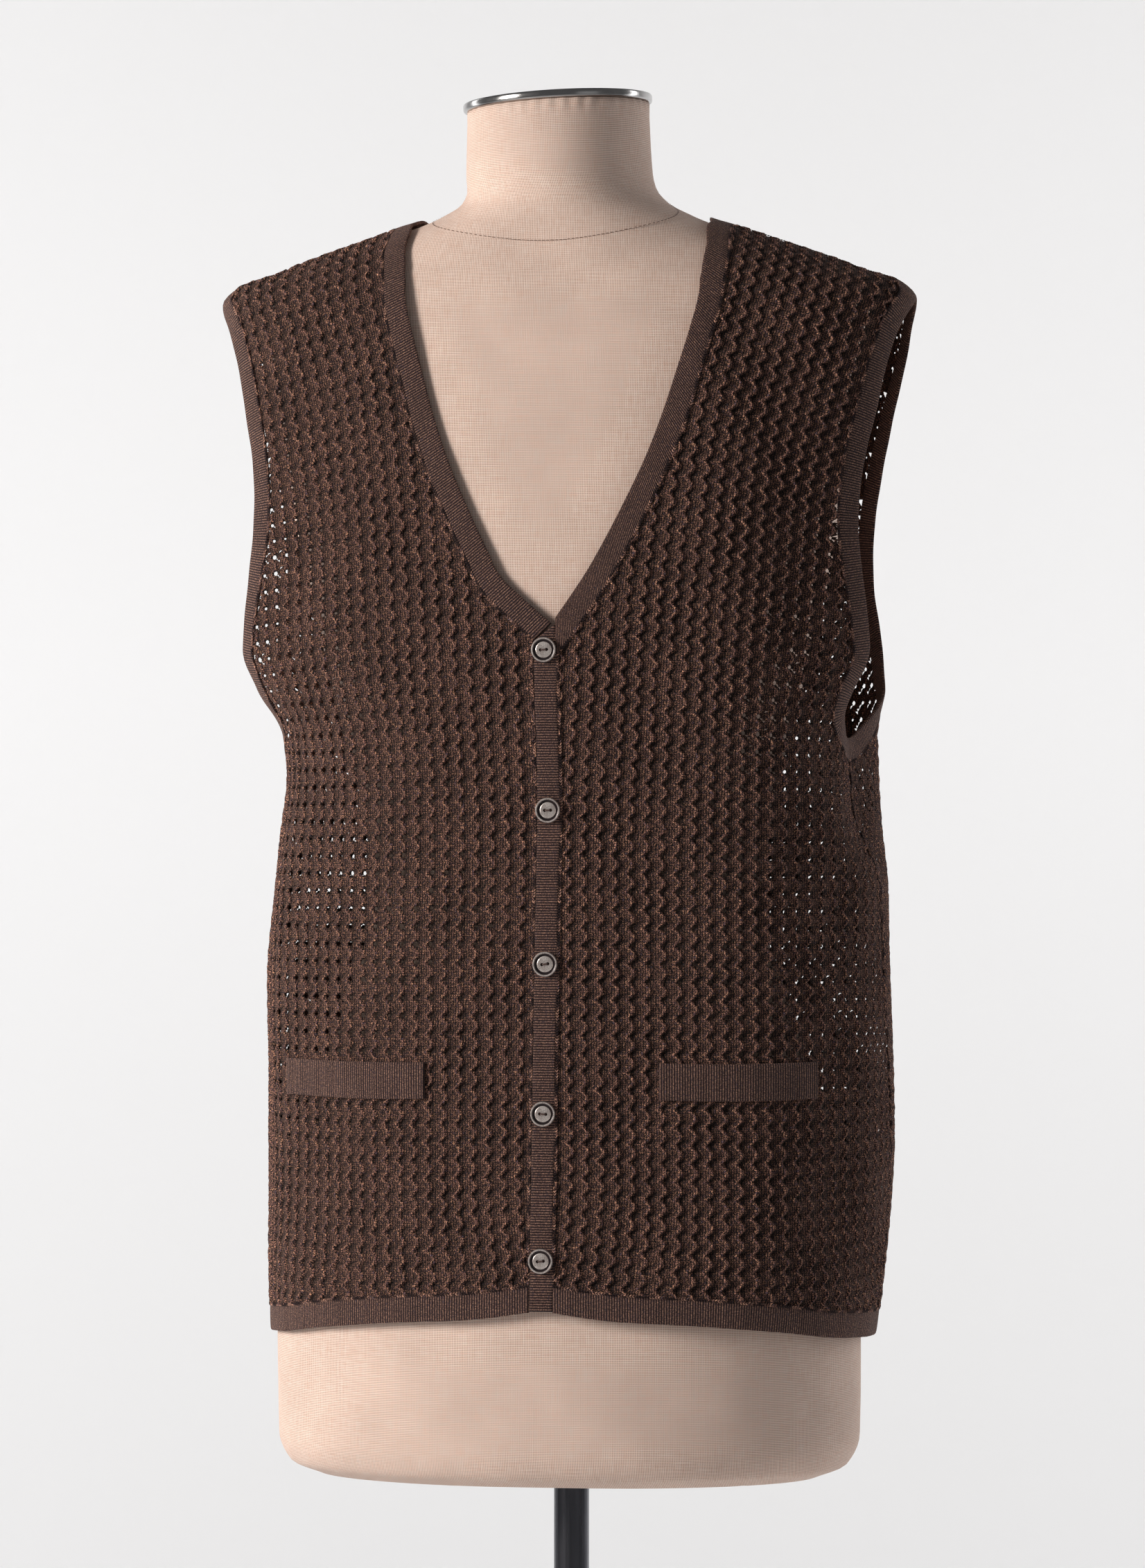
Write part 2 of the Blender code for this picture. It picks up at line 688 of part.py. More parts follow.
def front_grid(side):
    """A front from the hem seam to the shoulder seam and from the placket to the side."""
    front, _ = arm_stations(side)
    arm = arm_panel_edge(side, front, -1)
    arm[0, 0] = side_seam(side, arm[:1, 1], SEAM_GAP / 2)[0, 0]
    underarm_z, corner_z = arm[0, 1], front_corner_z(side)

    inner_z = np.linspace(hem_seam_z(math.radians(HEM_END_ANGLE)), underarm_z, LOWER_ROWS + 1)
    outer_z = np.linspace(hem_seam_z(side_angle(side)), underarm_z, LOWER_ROWS + 1)
    lower = rows_between(
        placket_edge(inner_z, side, SEAM_GAP), side_seam(side, outer_z, SEAM_GAP / 2), FRONT_COLUMNS
    )
    settle = (1 - np.linspace(0, 1, LOWER_ROWS + 1)[:, None]) ** 2
    lower[..., 1] += settle * (hem_seam_z(lower[0, :, 0]) - lower[0, :, 1])[None, :]

    split = corner_row(side)
    beside_placket = placket_edge(np.linspace(underarm_z, corner_z, split + 1), side, SEAM_GAP)
    neck = step_aside(neck_stations(side)[0][1], SEAM_GAP * side)
    neck[0] = beside_placket[-1]
    neck[-1, 0] = side * (math.radians(SHOULDER_SEAM) - SEAM_GAP / 2 / SHOULDER_RADIUS)
    middle = rows_between(beside_placket, arm[: split + 1], FRONT_COLUMNS)
    upper = rows_between(neck, arm[split:], FRONT_COLUMNS)
    return np.concatenate([lower, middle[1:], upper[1:]])


def back_top(left, right):
    """The back's upper edge: a shoulder seam, the back neck and the other shoulder seam."""
    halves = {}
    for side in (1, -1):
        seam = step_aside(neck_stations(side)[1][1], SEAM_GAP * side)
        seam[0, 0] = side * (math.radians(SHOULDER_SEAM) + SEAM_GAP / 2 / SHOULDER_RADIUS)
        halves[side] = np.stack([seam[:, 0] % FULL_TURN, seam[:, 1]], axis=-1)
        halves[side][-1, 0] = math.pi
    shares = np.linspace(0, 1, BACK_SHOULDER_COLUMNS + 1)[:-1, None]
    left_shoulder = left * (1 - shares) + halves[1][0] * shares
    right_shoulder = right * (1 - shares) + halves[-1][0] * shares
    return np.vstack([left_shoulder, halves[1], halves[-1][::-1][1:], right_shoulder[::-1]])


def back_grid():
    """The back from the hem seam to the shoulder seams and the back neck, from left side to right side."""
    edges = {}
    for side in (1, -1):
        _, back = arm_stations(side)
        edges[side] = arm_panel_edge(side, back, 1)
        edges[side][0, 0] = side_seam(side, edges[side][:1, 1], -SEAM_GAP / 2)[0, 0]
        edges[side][:, 0] %= FULL_TURN
    left, right = edges[1], edges[-1]

    top = back_top(left[-1], right[-1])
    run = lengths(top)
    across = (run / run[-1] + np.linspace(0, 1, len(top))) / 2
    u, v = across[None, :, None], np.linspace(0, 1, ARM_ROWS + 1)[:, None, None]
    bottom = left[0] * (1 - u[0]) + right[0] * u[0]
    corners = (1 - v) * bottom[None] + v * (left[-1] * (1 - u) + right[-1] * u)
    upper = (1 - v) * bottom[None] + v * top[None] + (1 - u) * left[:, None] + u * right[:, None] - corners

    lower = np.empty((LOWER_ROWS, len(top), 2))
    for row in range(LOWER_ROWS):
        share = row / LOWER_ROWS
        ends = []
        for side, edge in ((1, left), (-1, right)):
            z = hem_seam_z(side_angle(side)) * (1 - share) + edge[0, 1] * share
            ends.append(side_seam(side, np.array([z]), -SEAM_GAP / 2)[0])
        ends[1] = ends[1] + (FULL_TURN, 0)
        lower[row] = ends[0] * (1 - u[0]) + ends[1] * u[0]
        if row == 0:
            level = hem_seam_z(math.pi - np.abs(lower[0, :, 0] - math.pi)) - lower[0, :, 1]
        lower[row, :, 1] += (1 - share) ** 2 * level
    return np.concatenate([lower, upper])


def neck_band_grid():
    """The neck band from the V point up the right side, round the back and down to the V point again."""
    lines = []
    for line in (0, 1):
        runs = {}
        for side in (-1, 1):
            front, back = neck_stations(side)
            runs[side] = np.vstack([front[line], back[line][1:]])
        turned_left = runs[1][::-1].copy()
        turned_left[:, 0] -= FULL_TURN
        lines.append(np.vstack([runs[-1], turned_left[1:]]))
    return rows_between(lines[0], lines[1], 3)


def arm_band_grid(side):
    front, back = arm_stations(side)
    lines = [np.vstack([front[line], back[line][::-1][1:]]) for line in (0, 1)]
    return rows_between(lines[0], lines[1], 3)


def placket_grid(top_right_z, top_left_z):
    """A placket strip from the hem to its top, whose two corners have their own heights."""
    low = HEM.at(PLACKET_FOOT_ANGLE)
    right = placket_edge(np.linspace(low, top_right_z, PLACKET_ROWS), -1)
    left = placket_edge(np.linspace(low, top_left_z, PLACKET_ROWS), 1)
    return rows_between(right, left, 3)


def hem_grid(start, end, columns):
    """A hem band between two angles."""
    angles = np.linspace(start, end, columns)
    low = hem_height((angles + math.pi) % FULL_TURN - math.pi)
    free, seam = np.stack([angles, low], axis=-1), np.stack([angles, low + HEM_BAND_WIDTH], axis=-1)
    return rows_between(free, seam, 2)


def welt_grid(ends):
    angles = np.linspace(math.radians(ends[0]), math.radians(ends[1]), WELT_COLUMNS)
    low, high = WELT_LOW_Z + 0.0 * angles, WELT_HIGH_Z + 0.0 * angles
    return rows_between(np.stack([angles, low], axis=-1), np.stack([angles, high], axis=-1), 3)


def build_panels(collection, knit):
    wall("front_right", front_grid(-1), 0.0, PANEL_WALL, collection, knit)
    wall("front_left", front_grid(1), 0.0, PANEL_WALL, collection, knit)
    wall("back", back_grid(), 0.0, PANEL_WALL, collection, knit)


def build_bands(collection, rib):
    wall("neck_band", neck_band_grid(), BAND_LIFT, BAND_WALL, collection, rib)
    wall("armhole_band_right", arm_band_grid(-1), BAND_LIFT, BAND_WALL, collection, rib, closed=True)
    wall("armhole_band_left", arm_band_grid(1), BAND_LIFT, BAND_WALL, collection, rib, closed=True)
    top = placket_grid(PLACKET_TOP_RIGHT_EDGE_Z - SEAM_GAP, V_POINT_Z - TOP_PLACKET_DROP)
    wall("placket_right", top, PLACKET_LIFT, BAND_WALL, collection, rib)
    right_drop, left_drop = UNDER_PLACKET_DROPS
    under = placket_grid(PLACKET_TOP_RIGHT_EDGE_Z - right_drop, V_POINT_Z - left_drop)
    wall("placket_left", under, PLACKET_LIFT - BAND_WALL - SEAM_GAP, BAND_WALL, collection, rib)


def build_hem(collection, rib):
    low = np.array([HEM.at(HEM_END_ANGLE)])
    inner = {side: placket_edge(low, side, SEAM_GAP)[0, 0] for side in (-1, 1)}
    gap = SEAM_GAP / 2
    right = side_seam(-1, low, gap)[0, 0]
    left = side_seam(1, low, gap)[0, 0]
    wall("hem_band_right", hem_grid(right, inner[-1], FRONT_HEM_COLUMNS), 0.0, PANEL_WALL, collection, rib)
    wall("hem_band_left", hem_grid(inner[1], left, FRONT_HEM_COLUMNS), 0.0, PANEL_WALL, collection, rib)
    start = side_seam(1, low, -gap)[0, 0]
    end = side_seam(-1, low, -gap)[0, 0] + FULL_TURN
    wall("hem_band_back", hem_grid(start, end, BACK_HEM_COLUMNS), 0.0, PANEL_WALL, collection, rib)


def build_welts(collection, rib):
    for name, ends in (("pocket_welt_right", WELT_RIGHT), ("pocket_welt_left", WELT_LEFT)):
        wall(name, welt_grid(ends), SEAM_GAP + WELT_WALL, WELT_WALL, collection, rib)


def build_buttons(collection, cutters, finish):
    for number, height in enumerate(BUTTON_HEIGHTS, start=1):
        z = np.array([height])
        angle = angle_at_x(PLACKET.at(z), z)
        out = Vector(normal(angle, z)[0])
        seat = Vector(place(angle, z)[0]) + out * (PLACKET_LIFT + SEAM_GAP)
        button = turned(f"button_{number}", BUTTON_PROFILE, BUTTON_STEPS, collection, finish)
        level = out.cross(Vector((0, 0, 1))).normalized() * -1
        frame = Matrix((level, out.cross(level), out)).transposed().to_4x4()
        button.matrix_world = Matrix.Translation(seat) @ frame
        for part, x in (("a", -BUTTON_HOLE_PITCH / 2), ("b", BUTTON_HOLE_PITCH / 2)):
            cutter = cylinder(f"cut_{number}{part}", 8, BUTTON_HOLE_RADIUS, 0.01, cutters)
            cutter.matrix_world = button.matrix_world @ Matrix.Translation((x, 0, 0))
            cut = button.modifiers.new(f"hole_{part}", "BOOLEAN")
            cut.object = cutter
            cut.solver = "EXACT"
            cut.operation = "DIFFERENCE"


# ---------------------------------------------------------------- the form and its stand


def form_levels():
    """The heights of the form's rings: its table's own, with more where they are far apart."""
    levels = []
    for low, high in zip(FORM_RINGS, FORM_RINGS[1:]):
        count = max(1, math.ceil((high[0] - low[0]) / FORM_ROW_STEP))
        levels.extend(np.linspace(low[0], high[0], count + 1)[:-1])
    return np.array(levels + [FORM_TOP_Z])


def build_torso(collection, linen):
    levels = form_levels()
    angles = np.linspace(0, FULL_TURN, FORM_COLUMNS, endpoint=False)
    angle, z = np.meshgrid(angles, levels)
    points = place(angle, z, form_radius)
    points[..., 0] += LEAN.at(z)
    tilted = smooth_step((z - TILT_FROM_Z) / (FORM_TOP_Z - TILT_FROM_Z))
    points[..., 2] += points[..., 0] * math.tan(CAP_ROLL) * tilted
    rows, columns = angle.shape
    faces = [tuple(range(columns))[::-1], tuple((rows - 1) * columns + c for c in range(columns))]
    for r in range(rows - 1):
        low, high = r * columns, (r + 1) * columns
        for c in range(columns):
            after = (c + 1) % columns
            faces.append((low + c, low + after, high + after, high + c))
    return mesh_object("form_torso", points.reshape(-1, 3), faces, collection, linen)


def build_cap(collection, steel):
    cap = cylinder("form_neck_cap", 48, CAP_RADIUS, CAP_THICKNESS, collection)
    cap.data.materials.append(steel)
    edge = cap.modifiers.new("edge", "BEVEL")
    edge.width = CAP_BEVEL
    edge.segments = 2
    lean = float(LEAN.at(FORM_TOP_Z))
    middle = Vector((lean, float(CENTRE.at(FORM_TOP_Z)), FORM_TOP_Z + lean * math.tan(CAP_ROLL)))
    tilt = Matrix.Rotation(-CAP_ROLL, 4, "Y")
    rise = tilt @ Vector((0, 0, SEAM_GAP + CAP_THICKNESS / 2))
    cap.matrix_world = Matrix.Translation(middle + rise) @ tilt
    return cap


def build_stand(collection, pole_steel, base_metal):
    turned("stand_base", BASE_PROFILE, BASE_STEPS, collection, base_metal)
    low = BASE_PROFILE[-1][1] + SEAM_GAP
    high = FORM_RINGS[0][0] - SEAM_GAP
    pole = cylinder("stand_pole", 32, POLE_RADIUS, high - low, collection)
    pole.location = (0.0, 0.0, (low + high) / 2)
    pole.data.materials.append(pole_steel)


def main():
    clear_scene()
    garment = new_collection("cardigan_on_dress_form")
    cutters = new_collection("cutters", hidden=True)
    knit = material("knit", (0.060, 0.033, 0.027), 0.85)
    rib = material("rib", (0.085, 0.047, 0.038), 0.85)
    linen = material("linen", (0.66, 0.48, 0.39), 0.80)
    button_finish = material("button", (0.20, 0.15, 0.13), 0.35)
    cap_steel = material("cap_steel", (0.72, 0.70, 0.68), 0.18, 1.0)
    pole_steel = material("pole_steel", (0.09, 0.09, 0.10), 0.30, 1.0)
    base_metal = material("base_metal", (0.04, 0.04, 0.045), 0.45)
    build_torso(garment, linen)
    build_cap(garment, cap_steel)
    build_stand(garment, pole_steel, base_metal)
    build_panels(garment, knit)
    build_bands(garment, rib)
    build_hem(garment, rib)
    build_welts(garment, rib)
    build_buttons(garment, cutters, button_finish)


main()
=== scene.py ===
"""The looks of a sleeveless open-knit cardigan on a dress form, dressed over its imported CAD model.

Metres, +Z up, the floor at z = 0, the front towards -Y and the wearer's left at +X. The cloth lies on
the same envelope as the CAD solids: closed rings at each height, with soft folds. Each knitted panel is
first laid flat, which gives its wales and courses, and a charted repeat is then knitted over it.
"""

from __future__ import annotations

import json
import logging
import math
from dataclasses import dataclass
from enum import Enum

import bmesh
import bpy
import numpy as np
from mathutils import Matrix, Vector
from mathutils.bvhtree import BVHTree

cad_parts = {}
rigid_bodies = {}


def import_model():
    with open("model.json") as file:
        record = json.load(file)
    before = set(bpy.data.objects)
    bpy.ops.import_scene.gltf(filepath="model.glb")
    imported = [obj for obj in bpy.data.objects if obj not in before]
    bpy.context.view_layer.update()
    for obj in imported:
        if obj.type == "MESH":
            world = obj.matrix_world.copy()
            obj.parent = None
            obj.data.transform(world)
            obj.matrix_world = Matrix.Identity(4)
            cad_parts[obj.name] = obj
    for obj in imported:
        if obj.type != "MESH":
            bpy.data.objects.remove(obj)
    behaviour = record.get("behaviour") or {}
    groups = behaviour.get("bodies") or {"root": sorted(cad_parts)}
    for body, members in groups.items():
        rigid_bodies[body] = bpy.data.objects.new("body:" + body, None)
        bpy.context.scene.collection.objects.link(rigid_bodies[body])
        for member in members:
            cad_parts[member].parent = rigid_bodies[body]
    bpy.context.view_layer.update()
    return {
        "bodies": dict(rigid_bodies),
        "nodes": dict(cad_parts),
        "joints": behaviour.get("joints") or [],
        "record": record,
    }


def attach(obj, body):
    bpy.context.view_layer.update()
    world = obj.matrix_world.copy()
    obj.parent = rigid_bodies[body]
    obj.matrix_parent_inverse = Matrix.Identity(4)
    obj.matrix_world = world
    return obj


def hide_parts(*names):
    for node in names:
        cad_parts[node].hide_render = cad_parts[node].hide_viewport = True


log = logging.getLogger("cardigan")

Array = np.ndarray
Piece = bpy.types.Object
Material = bpy.types.Material
Tree = bpy.types.NodeTree
Node = bpy.types.Node
Socket = bpy.types.NodeSocket

BODY = "root"
MM = 0.001
FULL_TURN = 2 * math.pi
# One UV unit is this many mm of cloth.
UV_MM = 100


class Slot(Enum):
    """The names of the record's material slots."""

    KNIT = "knit"
    RIB = "rib"
    BUTTON = "button"
    LINEN = "linen"
    CAP = "cap_steel"


# ---------------- the envelope that the cloth lies on


class Table:
    """Smooth columns over the first column of a table, with no overshoot between its rows."""

    def __init__(self, rows: tuple[tuple[float, ...], ...]) -> None:
        """Prepares the slopes at each row.

        Args:
            rows: the table, sorted by its first column.
        """
        columns = np.array(rows, float).T
        self.xs = columns[0]
        self.columns = [(ys, self._slopes(ys)) for ys in columns[1:]]

    def _slopes(self, ys: Array) -> Array:
        """The slope of one column at each row."""
        steps = np.diff(self.xs)
        rises = np.diff(ys) / steps
        slopes = np.zeros_like(ys)
        slopes[0], slopes[-1] = rises[0], rises[-1]
        for i in range(1, len(ys) - 1):
            if rises[i - 1] * rises[i] > 0:
                after, before = 2 * steps[i] + steps[i - 1], steps[i] + 2 * steps[i - 1]
                slopes[i] = (after + before) / (after / rises[i - 1] + before / rises[i])
        return slopes

    def at(self, x: Array) -> Array | list[Array]:
        """The columns at x: one array, or a list where the table has several.

        Args:
            x: where, held inside the table's first column.

        Returns:
            The value of each column there.
        """
        xs = self.xs
        x = np.clip(x, xs[0], xs[-1])
        i = np.clip(np.searchsorted(xs, x) - 1, 0, len(xs) - 2)
        step = xs[i + 1] - xs[i]
        t = (x - xs[i]) / step
        found = []
        for ys, slopes in self.columns:
            near = ys[i] * (1 + 2 * t) * (1 - t) ** 2 + step * slopes[i] * t * (1 - t) ** 2
            far = ys[i + 1] * t * t * (3 - 2 * t) + step * slopes[i + 1] * t * t * (t - 1)
            found.append(near + far)
        return found if len(found) > 1 else found[0]


def smooth_step(x: Array) -> Array:
    """An even rise from 0 to 1 as x goes from 0 to 1."""
    x = np.clip(x, 0.0, 1.0)
    return x * x * (3 - 2 * x)


# The form: z, half width, front y, back y, squareness of the ring.
FORM_RINGS = (
    (0.6570, 0.1535, -0.1025, 0.0745, 2.15),
    (0.6643, 0.1710, -0.1190, 0.0917, 2.15),
    (0.6820, 0.1785, -0.1260, 0.0990, 2.15),
    (0.7600, 0.1793, -0.1270, 0.1000, 2.15),
    (0.8500, 0.1680, -0.1255, 0.0970, 2.15),
    (0.9300, 0.1410, -0.1160, 0.0860, 2.10),
    (1.0100, 0.1190, -0.1040, 0.0710, 2.10),
    (1.0800, 0.1300, -0.1130, 0.0780, 2.10),
    (1.1500, 0.1480, -0.1243, 0.0880, 2.15),
    (1.2000, 0.1590, -0.1205, 0.0940, 2.20),
    (1.2600, 0.1730, -0.1100, 0.0970, 2.30),
    (1.3100, 0.1810, -0.1010, 0.0950, 2.35),
    (1.3500, 0.1855, -0.0930, 0.0880, 2.35),
    (1.3740, 0.1850, -0.0880, 0.0800, 2.25),
    (1.3860, 0.1800, -0.0855, 0.0740, 2.10),
    (1.3920, 0.1680, -0.0840, 0.0690, 2.00),
    (1.4000, 0.1460, -0.0820, 0.0620, 2.00),
    (1.4100, 0.1166, -0.0800, 0.0550, 2.00),
    (1.4160, 0.0987, -0.0795, 0.0510, 2.00),
    (1.4200, 0.0868, -0.0790, 0.0480, 2.00),
    (1.4250, 0.0756, -0.0787, 0.0445, 2.00),
    (1.4316, 0.0640, -0.0785, 0.0400, 2.00),
    (1.4410, 0.0580, -0.0785, 0.0360, 2.00),
    (1.4520, 0.0571, -0.0790, 0.0345, 2.00),
    (1.4905, 0.0555, -0.0810, 0.0310, 2.00),
)

# The cloth's outer face as it hangs: z, half width right, half width left, front y, back y, squareness.
CLOTH_RINGS = (
    (0.7300, 0.1820, 0.1865, -0.1345, 0.1070, 2.20),
    (0.7420, 0.1825, 0.1880, -0.1345, 0.1075, 2.20),
    (0.8060, 0.1840, 0.1955, -0.1340, 0.1080, 2.20),
    (0.8700, 0.1840, 0.1990, -0.1330, 0.1070, 2.20),
    (0.9550, 0.1845, 0.1965, -0.1325, 0.1050, 2.25),
    (1.0400, 0.1770, 0.1940, -0.1315, 0.1040, 2.25),
    (1.0830, 0.1725, 0.1915, -0.1310, 0.1030, 2.25),
    (1.1070, 0.1745, 0.1905, -0.1305, 0.1030, 2.25),
    (1.1360, 0.1940, 0.1950, -0.1300, 0.1030, 2.25),
    (1.1600, 0.2050, 0.1990, -0.1295, 0.1025, 2.25),
    (1.2000, 0.2065, 0.2015, -0.1255, 0.1020, 2.20),
    (1.2600, 0.2060, 0.2030, -0.1145, 0.1010, 2.20),
    (1.3100, 0.2080, 0.2060, -0.1045, 0.0980, 2.20),
    (1.3500, 0.2115, 0.2110, -0.0970, 0.0910, 2.20),
    (1.3720, 0.2135, 0.2135, -0.0930, 0.0840, 2.10),
    (1.3830, 0.2040, 0.2040, -0.0900, 0.0780, 2.00),
    (1.3900, 0.1830, 0.1830, -0.0885, 0.0740, 2.00),
    (1.4000, 0.1535, 0.1535, -0.0865, 0.0670, 2.00),
    (1.4100, 0.1237, 0.1237, -0.0845, 0.0600, 2.00),
    (1.4155, 0.1074, 0.1074, -0.0835, 0.0560, 2.00),
    (1.4210, 0.0910, 0.0910, -0.0825, 0.0525, 2.00),
    (1.4270, 0.0790, 0.0790, -0.0820, 0.0490, 2.00),
)

# The middle of the rings: z, y. The neck leans a little forward.
CENTRE_LINE = ((0.60, -0.0140), (1.30, -0.0140), (1.40, -0.0180), (1.44, -0.0215), (1.50, -0.0250))
# The neck leans a little to the wearer's right: z, x.
NECK_LEAN = ((0.60, 0.0), (1.425, 0.0), (1.450, -0.0042), (1.50, -0.0050))

# The solids' soft folds: angle, depth (+ out), half spread in degrees, lowest z, highest z.
FOLDS = (
    (84.0, -0.0150, 9.0, 1.040, 1.135),
    (48.0, 0.0022, 9.0, 1.120, 1.390),
    (62.0, -0.0026, 7.0, 1.130, 1.360),
    (-52.0, 0.0018, 10.0, 1.120, 1.380),
    (-64.0, -0.0020, 6.0, 1.140, 1.340),
    (28.0, -0.0016, 9.0, 0.800, 1.130),
    (52.0, 0.0024, 10.0, 0.760, 1.150),
    (70.0, -0.0022, 7.0, 0.780, 1.120),
    (-34.0, 0.0014, 11.0, 0.790, 1.140),
    (-60.0, -0.0018, 8.0, 0.800, 1.100),
    (112.0, 0.0030, 12.0, 0.800, 1.180),
    (142.0, -0.0026, 10.0, 0.800, 1.240),
    (172.0, 0.0022, 12.0, 0.780, 1.220),
    (-158.0, -0.0024, 10.0, 0.800, 1.240),
    (-128.0, 0.0028, 12.0, 0.790, 1.180),
)

# Small creases that the solids leave to the cloth: angle, depth, half spread, lowest z, highest z.
CREASES = (
    (78.0, 0.0012, 4.0, 1.150, 1.330),
    (68.0, -0.0010, 3.5, 1.190, 1.350),
    (57.0, 0.0009, 4.0, 1.170, 1.300),
    (40.0, -0.0007, 5.0, 1.230, 1.370),
    (-72.0, 0.0010, 4.0, 1.140, 1.300),
    (-58.0, -0.0007, 4.5, 1.200, 1.360),
    (-44.0, 0.0006, 5.0, 1.160, 1.290),
    (61.0, -0.0010, 4.0, 0.930, 1.090),
    (42.0, 0.0007, 5.0, 0.960, 1.110),
    (76.0, 0.0011, 4.0, 0.840, 1.030),
    (-48.0, -0.0007, 5.0, 0.930, 1.080),
    (-73.0, 0.0012, 4.0, 0.870, 1.060),
    (-80.0, -0.0010, 3.5, 0.780, 0.930),
    (34.0, 0.0006, 6.0, 0.770, 0.880),
    (-22.0, -0.0005, 6.0, 0.780, 0.870),
    (124.0, -0.0012, 5.0, 0.860, 1.070),
    (155.0, 0.0011, 6.0, 0.930, 1.160),
    (187.0, -0.0010, 6.0, 0.840, 1.010),
    (208.0, 0.0012, 5.0, 0.970, 1.190),
    (236.0, -0.0011, 5.0, 0.820, 0.980),
    (132.0, 0.0010, 6.0, 1.180, 1.330),
    (226.0, -0.0010, 6.0, 1.200, 1.350),
)
FOLD_FADE = 0.055

# Free edge of the neck opening from the V point to centre back: angle, z.
NECK_EDGE = (
    (12.0, 1.2000), (17.0, 1.2165), (26.0, 1.2490), (32.7, 1.2755), (38.5, 1.3030), (44.0, 1.3330),
    (49.0, 1.3605), (53.5, 1.3830), (58.5, 1.3990), (66.0, 1.4135), (76.0, 1.4195), (90.0, 1.4230),
    (106.0, 1.4215), (125.0, 1.4185), (150.0, 1.4160), (180.0, 1.4150),
)
V_POINT = (3.0, 1.1736)

# Free edge of an armhole, from the underarm up the front, over the shoulder and down the back: angle, z.
ARM_EDGE = (
    (90.0, 1.1060), (85.5, 1.1090), (81.0, 1.1180), (78.3, 1.1330), (77.0, 1.1550), (75.5, 1.1900),
    (74.3, 1.2300), (76.0, 1.2700), (79.0, 1.3050), (81.5, 1.3350), (84.5, 1.3580), (90.0, 1.3715),
    (95.0, 1.3600), (98.0, 1.3300), (101.5, 1.3000), (105.0, 1.2650), (107.0, 1.2280), (106.5, 1.1900),
    (103.0, 1.1500), (98.5, 1.1250), (94.0, 1.1100),
)

# Lower edge of the garment: angle from centre front, z.
HEM_LINE = (
    (0.0, 0.7655), (20.0, 0.7595), (40.0, 0.7565), (58.0, 0.7515), (72.0, 0.7460), (90.0, 0.7435),
    (180.0, 0.7420),
)

# Middle of the button placket: z, x.
PLACKET_LINE = (
    (0.740, 0.0004), (0.795, 0.0006), (0.882, 0.0018), (0.971, 0.0030), (1.062, 0.0045),
    (1.175, 0.0012),
)
BUTTON_HEIGHTS = (1.1576, 1.0624, 0.9712, 0.8824, 0.7952)


